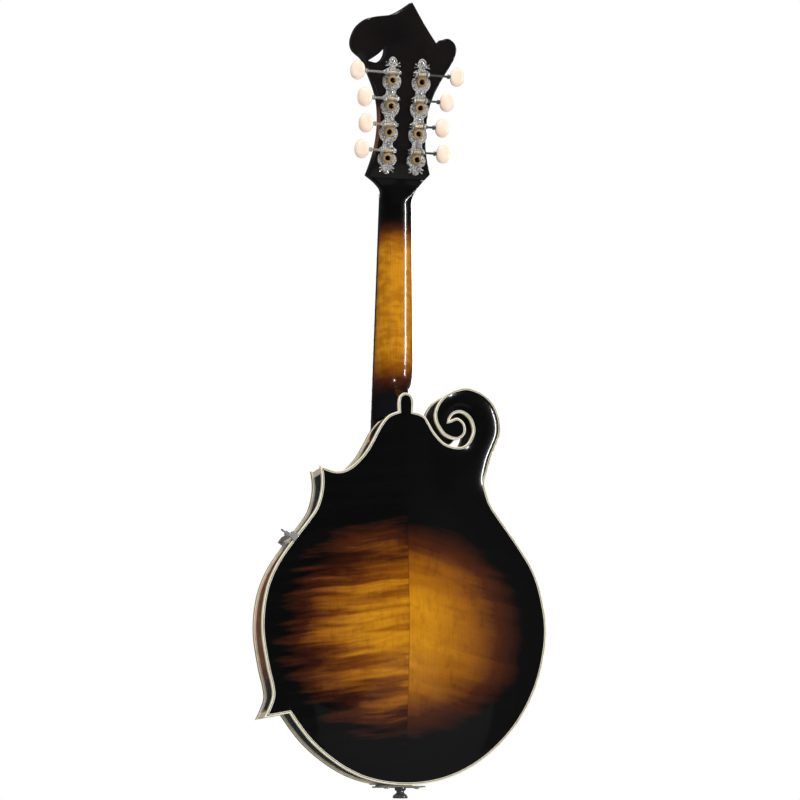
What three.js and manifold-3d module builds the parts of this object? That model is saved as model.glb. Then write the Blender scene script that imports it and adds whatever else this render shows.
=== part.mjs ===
// An F-style mandolin: a hollow carved body with a scroll and two points, a maple neck with a
// fingerboard and a tilted headstock, eight geared tuners, four pairs of strings, an adjustable
// bridge and a tailpiece with a sliding cover.
//
// Millimetres. The origin is the centre of the strap button's flat end. +Z runs up the neck,
// +Y is the string side, -Y is the carved back, and +X is the bass side, which has the scroll.

import * as THREE from "three";
import { mergeVertices } from "three/addons/utils/BufferGeometryUtils.js";
import Module from "manifold-3d";

const wasm = await Module();
wasm.setup();

// ---------------------------------------------------------------- driving dimensions

const GAP = 0.3; // clearance between glued or touching pieces

// Body
const EDGE_FRONT = 21; // outer face of the top's edge, and mirrored for the back
const PLATE_EDGE = 4.2; // thickness of both carved plates at the edge
const BINDING_WIDTH = 1.8;
const RIB_OVERHANG = 1.2; // how far the binding stands out past the rib
const RIB_THICKNESS = 2.2;
const RIB_HALF_HEIGHT = EDGE_FRONT - PLATE_EDGE - GAP;
const BLOCK_HALF_HEIGHT = RIB_HALF_HEIGHT - GAP;
const TOP_ARCH = 9;
const BACK_ARCH = 12;
const ARCH_CENTRE_Z = 145;
const INNER_ARCH_SHARE = 0.93; // the hollow's arch reaches this far towards the outer arch's rim
const BODY_END_Z = 10.9; // lowest point of the binding
const NECK_JOINT_Z = 336;
const HEEL_BUTTON_TOP_Z = 352.8;
const HEEL_BUTTON_HALF_WIDTH = 6.8;
const UPPER_POINT = [-77, 285.2];
const LOWER_POINT = [-124.5, 66.8];
const LOWER_NOTCH = [-102.5, 71];
const BASS_WAIST = [71.8, 274.5];
const SCROLL_SLOT_END = [39.2, 328.9];
const ARCH_SECTORS = 30; // directions in which the arch's reach is measured
const F_HOLE_TOP = [50, 222];
const F_HOLE_BOTTOM = [62, 146];
const F_HOLE_EYE_RADII = [3.6, 4.6]; // upper and lower
const TONE_BAR_X = 24;
const TONE_BAR_ENDS_Z = [70, 262];
const TONE_BAR_HALF_WIDTH = 3;
const TONE_BAR_HEIGHT = 7; // below the top's flat edge
const MORTISE_DEPTH = 20;
const MORTISE_MOUTH = 7.4; // half width where it opens
const MORTISE_ROOT = 10.4; // half width at its bottom
const NECK_BLOCK_TREBLE = 4; // outline steps from the heel to where the treble rib takes over
const BLOCK_BASS_OFFSET = 1; // outline steps past the waist where the scroll block begins
const TAIL_BLOCK_HALF_WIDTH = 40;
const TAIL_BLOCK_TOP_Z = 36;

// Neck
const NECK_PITCH = THREE.MathUtils.degToRad(3);
const FINGERBOARD_JOINT_Y = 33; // fingerboard surface over the body joint
const FINGERBOARD_THICKNESS = 6;
const FINGERBOARD_LENGTH = 204; // from the body joint to the nut
const FINGERBOARD_OVERHANG = 62; // from the body joint over the top
const NUT_HALF_WIDTH = 14.3;
const JOINT_HALF_WIDTH = 19;
const NUT_LENGTH = 4;
const NUT_HEIGHT = 1;
const HEADSTOCK_TILT = THREE.MathUtils.degToRad(12); // against the neck
const HEADSTOCK_DROP = 4; // headstock face below the fingerboard surface, at the nut
const VENEER_THICKNESS = 2;
const HEADSTOCK_WOOD = 12;
const HEADSTOCK_BACK = -(VENEER_THICKNESS + GAP + HEADSTOCK_WOOD);
const TENON_SIDE_GAP = 0.4;
const ROD_RADIUS = 2.4;
const ROD_Y = -FINGERBOARD_THICKNESS - GAP - 3.2; // truss rod's axis below the fingerboard surface
const ROD_START_Z = 12;
const ROD_LENGTH = FINGERBOARD_LENGTH;
const ROD_POCKET_HALF_WIDTH = 3.4;
const ROD_POCKET_ENDS_Z = [3, 20];

// Tuners, in the headstock's own frame: x across, y out of the face, z towards the tip
const TUNER_ROW_X = 13.6;
const TUNER_PITCH = 23.2;
const TUNER_FIRST_Z = 31.6; // the post nearest the nut
const TUNER_BUTTON_X = [37.8, 35.4, 38, 46]; // button centres, from the nut to the tip
const TUNER_PLATE_THICKNESS = 1.2;
const TUNER_PLATE_START_Z = 15;
const TUNER_PLATE_END_Z = 123.4;
const GEAR_TEETH = 16;
const GEAR_TIP_RADIUS = 4.7;
const GEAR_ROOT_RADIUS = 4;
const GEAR_THICKNESS = 3;
const WORM_OFFSET = 6.6; // from the post's axis to the worm's axis
const WORM_RADIUS = 1.6;
const WORM_HALF_LENGTH = 3.6;
const SHAFT_RADIUS = 1.1;
const POST_RADIUS = 3;
const POST_HEIGHT = 14;
const POST_HOLE_RADIUS = POST_RADIUS + 0.4;
const WIND_HEIGHTS = [5, 8.6]; // where a pair's outer and inner string meet their posts
const PLATE_BACK = HEADSTOCK_BACK - GAP - TUNER_PLATE_THICKNESS;
const GEAR_CENTRE_Y = PLATE_BACK - 0.6 - GEAR_THICKNESS / 2;
const BUTTON_HALF = new THREE.Vector3(6.5, 3.8, 8.1);
const PLATE_HALF_WIDTH = 6.2;
const PLATE_LOBE = 1.3; // how far each lobe goes past that
const LUG_THICKNESS = 1.6;
const LUG_REACH = 5.4; // from the tuner row to the middle of each bearing lug

// Strings and bridge
const BRIDGE_Z = 187;
const SADDLE_TOP_Y = 43.6;
const SADDLE_HEIGHT = 5.4;
const SADDLE_HALF_LENGTH = 38;
const SADDLE_HALF_THICKNESS = 2.6;
const BRIDGE_BASE_TOP_Y = 33.2;
const BRIDGE_BASE_HALF_LENGTH = 52;
const BRIDGE_BASE_HALF_THICKNESS = 6;
const BRIDGE_STUD_X = 30;
const BRIDGE_STUD_RADIUS = 1.6;
const BRIDGE_STUD_TOP_Y = 40.2;
const SADDLE_TRAVEL = 1.5; // up or down from rest
const THUMBWHEEL_RADIUS = 6;
const THUMBWHEEL_THICKNESS = 1.8;
const COURSES = [
  { name: "g", side: 1, posts: [1, 2], nutX: 10.1, saddleX: 19.5, radius: 0.5 },
  { name: "d", side: 1, posts: [3, 4], nutX: 3.4, saddleX: 6.5, radius: 0.42 },
  { name: "a", side: -1, posts: [3, 4], nutX: 3.4, saddleX: 6.5, radius: 0.34 },
  { name: "e", side: -1, posts: [1, 2], nutX: 10.1, saddleX: 19.5, radius: 0.26 },
];
const PAIR_HALF_SPACING = 1.15;

// Tailpiece and strap button
const TAILPIECE_HALF_WIDTH = 19.5;
const TAILPIECE_LENGTH = 66;
const TAILPIECE_SHEET = 1.2;
const TAILPIECE_SLOPE = THREE.MathUtils.degToRad(4.5);
const TAILPIECE_START = new THREE.Vector3(0, 22, 10);
const COVER_HEIGHT = 10;
const END_FLANGE_REACH = -12; // how far the tailpiece wraps down over the end
const STRING_ANCHOR_Z = 46; // along the tailpiece
const STRING_ANCHOR_Y = 7.4;
const PIN_RADIUS = 3;
const PIN_HOLE_RADIUS = PIN_RADIUS + 0.4;
const PIN_TOP_Z = 30;

// Pickguard and its clamp
const PICKGUARD_Y = 30.5;
const PICKGUARD_THICKNESS = 1.6;
const CLAMP_Y = 25.4;
const CLAMP_PLACE = new THREE.Vector3(-101.6, CLAMP_Y, 224);
const CLAMP_TURN = THREE.MathUtils.degToRad(35);
const CLAMP_HALF_WIDTH = 3;
const CLAMP_REACH = 46; // of the arm, inwards over the top
const CLAMP_DROP = 48; // of the strap, down past the back's edge
const CLAMP_SCREW_DROP = 38;

// ---------------------------------------------------------------- materials

const paint = (color, roughness, metalness = 0) =>
  new THREE.MeshStandardMaterial({ color, roughness, metalness });
const maple = paint(0x4a2408, 0.25);
const burst = paint(0x6b3a0c, 0.2);
const black = paint(0x0a0808, 0.2);
const ivory = paint(0xe9dfc0, 0.35);
const spruce = paint(0xd8b98a, 0.6);
const ebony = paint(0x17110d, 0.5);
const nickel = paint(0xc9c9c4, 0.25, 1);
const brass = paint(0xb08a45, 0.3, 1);
const steel = paint(0x9a9a9a, 0.35, 1);
const pearl = paint(0xeadfd2, 0.3);
const bronze = paint(0xa8743c, 0.35, 1);

// ---------------------------------------------------------------- shape helpers

const point = ([x, z]) => new THREE.Vector2(x, z);

// A smooth line through the given points, without its last point.
function smooth(points, perSpan) {
  const curve = new THREE.SplineCurve(points.map(point));
  return curve.getPoints((points.length - 1) * perSpan).slice(0, -1);
}

// A solid with an outline in the XZ plane, between two heights along Y.
function prism(outline, low, high, holes = []) {
  const shape = new THREE.Shape(outline);
  holes.forEach((hole) => shape.holes.push(new THREE.Path(hole)));
  const geometry = new THREE.ExtrudeGeometry(shape, { depth: high - low, bevelEnabled: false });
  return geometry.rotateX(Math.PI / 2).translate(0, high, 0);
}

function box(xs, ys, zs) {
  const geometry = new THREE.BoxGeometry(xs[1] - xs[0], ys[1] - ys[0], zs[1] - zs[0]);
  return geometry.translate((xs[0] + xs[1]) / 2, (ys[0] + ys[1]) / 2, (zs[0] + zs[1]) / 2);
}

// A round rod between two points.
function rod(radius, from, to, sides = 16) {
  const span = new THREE.Vector3().subVectors(to, from);
  const geometry = new THREE.CylinderGeometry(radius, radius, span.length(), sides);
  const turn = new THREE.Quaternion().setFromUnitVectors(new THREE.Vector3(0, 1, 0), span.normalize());
  geometry.applyQuaternion(turn);
  return geometry.translate((from.x + to.x) / 2, (from.y + to.y) / 2, (from.z + to.z) / 2);
}

const at = (x, y, z) => new THREE.Vector3(x, y, z);

// A closed solid from rings of equal count, capped by fans. It turns itself outward.
function loft(rings) {
  const count = rings[0].length;
  const positions = rings.flat().flatMap((p) => [p.x, p.y, p.z]);
  const faces = [];
  for (let r = 0; r + 1 < rings.length; r += 1) {
    for (let i = 0; i < count; i += 1) {
      const a = r * count + i;
      const b = r * count + ((i + 1) % count);
      faces.push([a, b, b + count], [a, b + count, a + count]);
    }
  }
  const last = (rings.length - 1) * count;
  for (let i = 1; i + 1 < count; i += 1) {
    faces.push([0, i + 1, i], [last, last + i, last + i + 1]);
  }
  const volume = faces.reduce((sum, face) => {
    const [a, b, c] = face.map((i) => at(...positions.slice(3 * i, 3 * i + 3)));
    return sum + a.dot(b.cross(c));
  }, 0);
  const turned = volume < 0 ? faces.map(([a, b, c]) => [a, c, b]) : faces;
  const geometry = new THREE.BufferGeometry();
  geometry.setAttribute("position", new THREE.Float32BufferAttribute(positions, 3));
  geometry.setIndex(turned.flat());
  return geometry;
}

// A round wire through a list of points, with a ring square to the path at each.
function wire(points, radius, sides = 6) {
  const rings = points.map((here, i) => {
    const ahead = points[Math.min(i + 1, points.length - 1)];
    const behind = points[Math.max(i - 1, 0)];
    const along = new THREE.Vector3().subVectors(ahead, behind).normalize();
    const side = new THREE.Vector3(1, 0, 0).addScaledVector(along, -along.x).normalize();
    const up = new THREE.Vector3().crossVectors(along, side);
    return Array.from({ length: sides }, (_, k) => {
      const angle = (2 * Math.PI * k) / sides;
      return here
        .clone()
        .addScaledVector(side, radius * Math.cos(angle))
        .addScaledVector(up, radius * Math.sin(angle));
    });
  });
  return loft(rings);
}

function solid(geometry) {
  const bare = geometry.clone();
  bare.deleteAttribute("normal");
  bare.deleteAttribute("uv");
  const merged = mergeVertices(bare, 1e-4);
  return new wasm.Manifold(
    new wasm.Mesh({
      numProp: 3,
      vertProperties: new Float32Array(merged.attributes.position.array),
      triVerts: new Uint32Array(merged.index.array),
    }),
  );
}

function geometryOf(manifold) {
  const mesh = manifold.getMesh();
  const geometry = new THREE.BufferGeometry();
  geometry.setAttribute("position", new THREE.Float32BufferAttribute(mesh.vertProperties, 3));
  geometry.setIndex(Array.from(mesh.triVerts));
  return geometry;
}

const join = (first, ...rest) =>
  geometryOf(rest.reduce((sum, piece) => sum.add(solid(piece)), solid(first)));
const cut = (first, ...tools) =>
  geometryOf(tools.reduce((sum, tool) => sum.subtract(solid(tool)), solid(first)));
const common = (a, b) => geometryOf(solid(a).intersect(solid(b)));

const instrument = new THREE.Group();

function add(name, geometry, material, parent = instrument) {
  geometry.computeVertexNormals();
  const mesh = new THREE.Mesh(geometry, material);
  mesh.name = name;
  parent.add(mesh);
  return mesh;
}

// ---------------------------------------------------------------- body outline

const HEEL_TREBLE = [-HEEL_BUTTON_HALF_WIDTH, NECK_JOINT_Z];
const HEEL_BASS = [HEEL_BUTTON_HALF_WIDTH, NECK_JOINT_Z];

const trebleShoulder = smooth(
  [HEEL_TREBLE, [-16, 331.8], [-24, 321.5], [-35.5, 300.5], [-50, 285], [-63, 281], UPPER_POINT],
  2,
);
const trebleWaist = smooth(
  [
    UPPER_POINT, [-75.4, 270], [-80, 249], [-95, 227.5], [-112, 203.5], [-122.5, 181],
    [-127, 156], [-126.5, 134], [-121.5, 107], [-117.3, 86], LOWER_POINT,
  ],
  2,
);
const lowerBout = smooth(
  [
    LOWER_NOTCH, [-86.5, 50], [-65, 31.2], [-38, 16.8], [-4, BODY_END_Z], [33, 15.5],
    [67.5, 32.2], [98, 61.5], [118, 97.7], [127, 138], [124.8, 169], [115.5, 199.4],
    [94.5, 231.3], [77, 256.3], BASS_WAIST,
  ],
  2,
);
// Up the scroll's outer side, over its top and round into the eye, which the slot leaves free.
const scroll = smooth(
  [
    BASS_WAIST, [78, 298], [86.5, 320], [84, 339], [73.8, 352.8], [55.5, 359.6], [37, 353],
    [27.6, 341], [26.6, 329], [34.5, 316.4], [46.5, 312.6], [54, 318.5], [53.2, 327.5],
    [46.5, 332.2], SCROLL_SLOT_END,
  ],
  2,
);
const slot = smooth(
  [
    SCROLL_SLOT_END, [43.2, 334.8], [50, 336.8], [57.5, 332.2], [61, 321], [55.5, 309.3],
    [46.5, 306.2], [34.5, 309.6], [24.5, 320.5], [17, 332.5], HEEL_BASS,
  ],
  2,
);
const buttonArc = Array.from({ length: 7 }, (_, i) => {
  const angle = (Math.PI * i) / 6;
  const spring = HEEL_BUTTON_TOP_Z - HEEL_BUTTON_HALF_WIDTH;
  const reach = HEEL_BUTTON_HALF_WIDTH;
  return new THREE.Vector2(reach * Math.cos(angle), spring + reach * Math.sin(angle));
});

const topOutline = [
  ...trebleShoulder, ...trebleWaist, point(LOWER_POINT), ...lowerBout, ...scroll, ...slot,
  point(HEEL_BASS),
];
const backOutline = [...topOutline, ...buttonArc];
const waistStart = trebleShoulder.length;
const lowerPointAt = waistStart + trebleWaist.length;
const scrollStart = lowerPointAt + 1 + lowerBout.length;
const slotEnd = scrollStart + scroll.length + slot.length;

// The outline moved into the wood, square to its edges, with long corners held back.
function inset(outline, distance) {
  const turn = Math.sign(THREE.ShapeUtils.area(outline));
  const inward = (from, to) => new THREE.Vector2(from.y - to.y, to.x - from.x).normalize();
  return outline.map((here, i) => {
    const before = inward(outline.at(i - 1), here);
    const after = inward(here, outline[(i + 1) % outline.length]);
    const mitre = before.clone().add(after).normalize();
    const stretch = Math.min(1 / mitre.dot(before), 2.6);
    return here.clone().addScaledVector(mitre, turn * distance * stretch);
  });
}

// ---------------------------------------------------------------- arching of the plates

// Where the carved arch runs out into the flat edge.
const archRim = new THREE.SplineCurve(
  [
    [0, 19], [45, 27], [84, 55], [112, 98], [118, 148], [104, 203], [74, 249], [57, 284],
    [36, 306], [0, 322], [-26, 304], [-50, 278], [-74, 248], [-104, 203], [-118, 148],
    [-108, 98], [-84, 57], [-45, 28], [0, 19],
  ].map(point),
);
const archCentre = new THREE.Vector2(0, ARCH_CENTRE_Z);
const archReaches = Array.from({ length: ARCH_SECTORS }, (_, sector) => {
  const angle = (2 * Math.PI * sector) / ARCH_SECTORS;
  const direction = new THREE.Vector2(Math.cos(angle), Math.sin(angle));
  const arms = archRim.getPoints(720).map((p) => p.sub(archCentre));
  arms.sort((a, b) => b.dot(direction) / b.length() - a.dot(direction) / a.length());
  return arms[0].length();
});

function archReach(angle) {
  const place = ((angle / (2 * Math.PI)) * ARCH_SECTORS + ARCH_SECTORS) % ARCH_SECTORS;
  const low = Math.floor(place) % ARCH_SECTORS;
  const high = (low + 1) % ARCH_SECTORS;
  return THREE.MathUtils.lerp(archReaches[low], archReaches[high], place - Math.floor(place));
}

const swell = (share) => (share < 1 ? 0.5 + 0.5 * Math.cos(Math.PI * share) : 0);

// Height of the top's outer face at a place on the body.
function topHeight(x, z) {
  const arm = new THREE.Vector2(x, z).sub(archCentre);
  return EDGE_FRONT + TOP_ARCH * swell(arm.length() / archReach(arm.angle()));
}

function archSurface(base, rise, reachShare) {
  const shares = [0, 0.16, 0.34, 0.5, 0.66, 0.82, 1, 2.4];
  return shares.map((share) =>
    archReaches.map((reach, sector) => {
      const angle = (2 * Math.PI * sector) / ARCH_SECTORS;
      const arm = Math.max(share, 0.004) * reach;
      const height = base + rise * swell(share / reachShare);
      return at(arm * Math.cos(angle), height, ARCH_CENTRE_Z + arm * Math.sin(angle));
    }),
  );
}

// A carved plate: outlined, flat at the edge, arched outside and hollowed inside.
function carvedPlate(outline, rise) {
  const outer = archSurface(EDGE_FRONT, rise, 1);
  const inner = archSurface(EDGE_FRONT - PLATE_EDGE, rise + 0.2, INNER_ARCH_SHARE);
  const slab = loft([...outer, ...inner.reverse()]);
  return common(slab, prism(inset(outline, BINDING_WIDTH + GAP), 0, EDGE_FRONT + 2 * rise));
}

const mirrored = (outline) => outline.map((p) => new THREE.Vector2(-p.x, p.y));

// Turns a piece made for the string side over to the back, keeping bass and treble in place.
const toBack = (geometry) => geometry.rotateZ(Math.PI);

// ---------------------------------------------------------------- body

// One sound hole: two round ends and the curved slot between them.
function soundHole(side) {
  const [topX, topZ] = F_HOLE_TOP;
  const [bottomX, bottomZ] = F_HOLE_BOTTOM;
  const spine = new THREE.SplineCurve([
    new THREE.Vector2(topX - 4, topZ + 4),
    new THREE.Vector2(topX + 2, topZ + 7),
    new THREE.Vector2(topX + 6, topZ - 2),
    new THREE.Vector2(topX + 4, (topZ + bottomZ) / 2),
    new THREE.Vector2(bottomX - 6, bottomZ + 3),
    new THREE.Vector2(bottomX - 1, bottomZ - 8),
    new THREE.Vector2(bottomX + 6, bottomZ - 4),
  ]);
  const steps = 10;
  const halfWidth = (share) => 1.1 + 1.9 * Math.sin(Math.PI * share);
  const sideOf = (sign) =>
    Array.from({ length: steps + 1 }, (_, i) => {
      const here = spine.getPoint(i / steps);
      const along = spine.getTangent(i / steps);
      const across = new THREE.Vector2(-along.y, along.x);
      return here.addScaledVector(across, sign * halfWidth(i / steps));
    });
  const band = [...sideOf(1), ...sideOf(-1).reverse()];
  const sided = band.map((p) => new THREE.Vector2(side * p.x, p.y));
  const [low, high] = [EDGE_FRONT - 2 * PLATE_EDGE, EDGE_FRONT + 2 * TOP_ARCH];
  const eye = ([x, z], radius) => rod(radius, at(side * x, low, z), at(side * x, high, z), 10);
  const [upperRadius, lowerRadius] = F_HOLE_EYE_RADII;
  const upperEye = eye([topX - 3, topZ + 2], upperRadius);
  const lowerEye = eye([bottomX + 5, bottomZ - 3], lowerRadius);
  return join(prism(sided, low, high), upperEye, lowerEye);
}

const topBlank = carvedPlate(topOutline, TOP_ARCH);
add("top_plate", cut(topBlank, soundHole(1), soundHole(-1)), spruce);
add("back_plate", toBack(carvedPlate(mirrored(backOutline), BACK_ARCH)), burst);

const bindingLow = EDGE_FRONT - PLATE_EDGE + GAP / 2;
const topBinding = prism(topOutline, bindingLow, EDGE_FRONT, [inset(topOutline, BINDING_WIDTH)]);
add("top_binding", topBinding, ivory);
const backBinding = prism(backOutline, -EDGE_FRONT, -bindingLow, [inset(backOutline, BINDING_WIDTH)]);
add("back_binding", backBinding, ivory);

// A bent rib along part of the outline. Its inner face starts and stops short of sharp ends.
const ribOuter = inset(topOutline, RIB_OVERHANG);
const ribInner = inset(topOutline, RIB_OVERHANG + RIB_THICKNESS);
function rib(from, to) {
  const outer = ribOuter.slice(from, to + 1);
  const inner = ribInner.slice(from, to + 1).reverse();
  return prism([...outer, ...inner], -RIB_HALF_HEIGHT, RIB_HALF_HEIGHT);
}

const pinHole = rod(PIN_HOLE_RADIUS, at(0, 0, -5), at(0, 0, PIN_TOP_Z + 2));
add("rib_upper_treble", rib(NECK_BLOCK_TREBLE + 1, waistStart - 1), maple);
add("rib_treble_waist", rib(waistStart + 1, lowerPointAt - 1), maple);
const longRib = rib(lowerPointAt + 1, scrollStart + BLOCK_BASS_OFFSET);
add("rib_lower_bout", cut(longRib, pinHole), maple);

// The neck block and the solid scroll are one piece of wood, with a dovetail mortise.
const mortiseRootZ = NECK_JOINT_Z - MORTISE_DEPTH;
const blockOuter = ribOuter.slice(scrollStart + BLOCK_BASS_OFFSET + 1, slotEnd - 1);
const blockTreble = ribOuter.slice(1, NECK_BLOCK_TREBLE + 1);
const blockFace = NECK_JOINT_Z - RIB_OVERHANG;
const mortise = [
  [MORTISE_MOUTH, blockFace], [MORTISE_ROOT, mortiseRootZ],
  [-MORTISE_ROOT, mortiseRootZ], [-MORTISE_MOUTH, blockFace],
];
const blockOutline = [
  ...blockOuter,
  point([MORTISE_MOUTH + 1.6, blockFace]),
  ...mortise.map(point),
  ...blockTreble,
  ...[[-22, 298], [30, 290], [58, 290]].map(point),
];
add("neck_block", prism(blockOutline, -BLOCK_HALF_HEIGHT, BLOCK_HALF_HEIGHT), maple);

const tailInner = inset(topOutline, RIB_OVERHANG + RIB_THICKNESS + GAP);
const nearTail = (p) => Math.abs(p.x) < TAIL_BLOCK_HALF_WIDTH && p.y < TAIL_BLOCK_TOP_Z;
const tailEdge = tailInner.filter(nearTail);
const tailOutline = [
  ...tailEdge,
  new THREE.Vector2(tailEdge.at(-1).x, TAIL_BLOCK_TOP_Z),
  new THREE.Vector2(tailEdge[0].x, TAIL_BLOCK_TOP_Z),
];
add("tail_block", cut(prism(tailOutline, -BLOCK_HALF_HEIGHT, BLOCK_HALF_HEIGHT), pinHole), maple);

// Tone bars under the top, their upper edge following the hollow.
function toneBar(centreX) {
  const [low, high] = TONE_BAR_ENDS_Z;
  const steps = 12;
  const halfWidth = TONE_BAR_HALF_WIDTH;
  const arch = Array.from({ length: steps + 1 }, (_, i) => {
    const z = THREE.MathUtils.lerp(low, high, i / steps);
    const under = Math.min(topHeight(centreX - halfWidth, z), topHeight(centreX + halfWidth, z));
    return new THREE.Vector2(z, under - PLATE_EDGE - 3 * GAP);
  });
  const flat = EDGE_FRONT - PLATE_EDGE - TONE_BAR_HEIGHT;
  const side = new THREE.Shape([...[[low, flat], [high, flat]].map(point), ...arch.reverse()]);
  const geometry = new THREE.ExtrudeGeometry(side, { depth: 2 * halfWidth, bevelEnabled: false });
  return geometry.rotateY(-Math.PI / 2).translate(centreX + halfWidth, 0, 0);
}
add("tone_bar_bass", toneBar(TONE_BAR_X), spruce);
add("tone_bar_treble", toneBar(-TONE_BAR_X), spruce);

// ---------------------------------------------------------------- neck

const neck = new THREE.Group();
neck.position.set(0, FINGERBOARD_JOINT_Y, NECK_JOINT_Z - 1);
neck.rotation.x = NECK_PITCH;
instrument.add(neck);

const headstock = new THREE.Group();
headstock.position.set(0, -HEADSTOCK_DROP, FINGERBOARD_LENGTH + NUT_LENGTH);
headstock.rotation.x = HEADSTOCK_TILT;
neck.add(headstock);
instrument.updateMatrixWorld(true);

const toNeck = neck.matrixWorld.clone().invert();
const neckPoint = (x, y, z) => at(x, y, z).applyMatrix4(neck.matrixWorld);
const headPoint = (x, y, z) => at(x, y, z).applyMatrix4(headstock.matrixWorld);

const boardHalfWidth = (z) =>
  THREE.MathUtils.mapLinear(z, 0, FINGERBOARD_LENGTH, JOINT_HALF_WIDTH, NUT_HALF_WIDTH);

const boardEnd = -FINGERBOARD_OVERHANG;
const boardOutline = [
  [boardHalfWidth(boardEnd), boardEnd + 6],
  [boardHalfWidth(FINGERBOARD_LENGTH), FINGERBOARD_LENGTH - GAP],
  [-boardHalfWidth(FINGERBOARD_LENGTH), FINGERBOARD_LENGTH - GAP],
  [-boardHalfWidth(boardEnd), boardEnd - 8],
  [-6, boardEnd - 4],
  [4, boardEnd + 2],
].map(point);
add("fingerboard", prism(boardOutline, -FINGERBOARD_THICKNESS, 0), ebony, neck);

const nutBlock = box(
  [-NUT_HALF_WIDTH, NUT_HALF_WIDTH],
  [-FINGERBOARD_THICKNESS, NUT_HEIGHT],
  [FINGERBOARD_LENGTH, FINGERBOARD_LENGTH + NUT_LENGTH - GAP],
);
add("nut", nutBlock, ivory, neck);

// One ring of the neck: flat under the fingerboard and round, or heel-shaped, below it.
function neckRing(z, depth, heelShare, topDrop = 0) {
  const steps = 7;
  const width = boardHalfWidth(z);
  const top = -FINGERBOARD_THICKNESS - GAP - topDrop;
  const half = Array.from({ length: steps + 1 }, (_, i) => {
    const share = i / steps;
    const round = Math.max(width * Math.sqrt(1 - share ** 2.3), 1.6);
    const heel = THREE.MathUtils.lerp(width, HEEL_BUTTON_HALF_WIDTH - 0.4, share ** 0.8);
    return at(THREE.MathUtils.lerp(round, heel, heelShare), top - depth * share, z);
  });
  const otherHalf = half.map((p) => at(-p.x, p.y, p.z)).reverse();
  return [...half, ...otherHalf];
}

const neckShaft = loft([
  neckRing(-4, 46, 1),
  neckRing(13, 45, 1),
  neckRing(18, 40, 0.9),
  neckRing(23, 32, 0.7),
  neckRing(31, 24, 0.4),
  neckRing(46, 19.5, 0.1),
  neckRing(90, 16.5, 0),
  neckRing(180, 14.5, 0),
  neckRing(198, 15.5, 0),
  neckRing(FINGERBOARD_LENGTH + NUT_LENGTH + 0.6, 16.5, 0),
]);
const tenonOutline = [
  [MORTISE_MOUTH - TENON_SIDE_GAP, blockFace],
  [MORTISE_MOUTH - TENON_SIDE_GAP, NECK_JOINT_Z + 3],
  [-MORTISE_MOUTH + TENON_SIDE_GAP, NECK_JOINT_Z + 3],
  [-MORTISE_MOUTH + TENON_SIDE_GAP, blockFace],
  [-MORTISE_ROOT + TENON_SIDE_GAP, mortiseRootZ + TENON_SIDE_GAP],
  [MORTISE_ROOT - TENON_SIDE_GAP, mortiseRootZ + TENON_SIDE_GAP],
].map(point);
const tenon = prism(tenonOutline, -BLOCK_HALF_HEIGHT, BLOCK_HALF_HEIGHT).applyMatrix4(toNeck);
const bodySide = box([-60, 60], [-60, 60], [200, NECK_JOINT_Z + GAP]).applyMatrix4(toNeck);
const backSide = box([-60, 60], [-60, -EDGE_FRONT + PLATE_EDGE + GAP], [200, 400]).applyMatrix4(toNeck);

// Headstock outline in its own frame, round the scroll on the treble side to the bass ear.
const BASS_CORNER = [27.9, 19.2];
const TREBLE_CORNER = [-29.8, 14.6];
const TREBLE_WAIST_TOP = [-39.4, 116.6];
const HEAD_TIP = [1.4, 171.5];
const headOutline = [
  ...smooth([[14.6, 0], [16, 4], [20.8, 11], BASS_CORNER], 2),
  ...smooth(
    [
      BASS_CORNER, [25.4, 28], [22.4, 42], [21.6, 60], [23.4, 79], [28.6, 95], [36, 110],
      [43.4, 124], [44.6, 135], [37.4, 142], [30.5, 139.6], [27.4, 135],
    ],
    2,
  ),
  ...smooth([[27.4, 135], [16, 150], HEAD_TIP], 1),
  ...smooth(
    [
      HEAD_TIP, [-7, 165], [-16.6, 159.6], [-27, 157.5], [-38, 154.5], [-47.5, 146],
      [-51.6, 134], [-49.5, 125.5], [-42, 119.5],
    ],
    2,
  ),
  ...smooth([[-42, 119.5], TREBLE_WAIST_TOP], 1),
  ...smooth(
    [
      TREBLE_WAIST_TOP, [-36, 110], [-28.6, 95], [-23.4, 79], [-21.6, 60], [-22.8, 42],
      [-26, 27], TREBLE_CORNER,
    ],
    2,
  ),
  ...smooth([TREBLE_CORNER, [-21.6, 8.8], [-16.2, 3.4], [-14.6, 0]], 2),
  point([-14.6, 0]),
];
// The see-through crescent that sets the headstock's scroll free.
const headCrescent = [
  ...smooth([[-36.2, 117], [-28.4, 115.8], [-22.8, 118.6], [-20, 125], [-20.4, 132.4]], 2),
  ...smooth([[-20.4, 132.4], [-24.6, 126.4], [-29.8, 121.6], [-36.2, 117]], 2),
];

const tunerPlaces = [0, 1, 2, 3].map((i) => TUNER_FIRST_Z + i * TUNER_PITCH);
const sides = [
  { name: "bass", sign: 1 },
  { name: "treble", sign: -1 },
];
const postHoles = sides.flatMap(({ sign }) => {
  const x = sign * TUNER_ROW_X;
  return tunerPlaces.map((z) => rod(POST_HOLE_RADIUS, at(x, HEADSTOCK_BACK - 4, z), at(x, 2, z), 10));
});
const rodPocket = box(
  [-ROD_POCKET_HALF_WIDTH, ROD_POCKET_HALF_WIDTH],
  [-VENEER_THICKNESS - 6, 1],
  ROD_POCKET_ENDS_Z,
);

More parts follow.
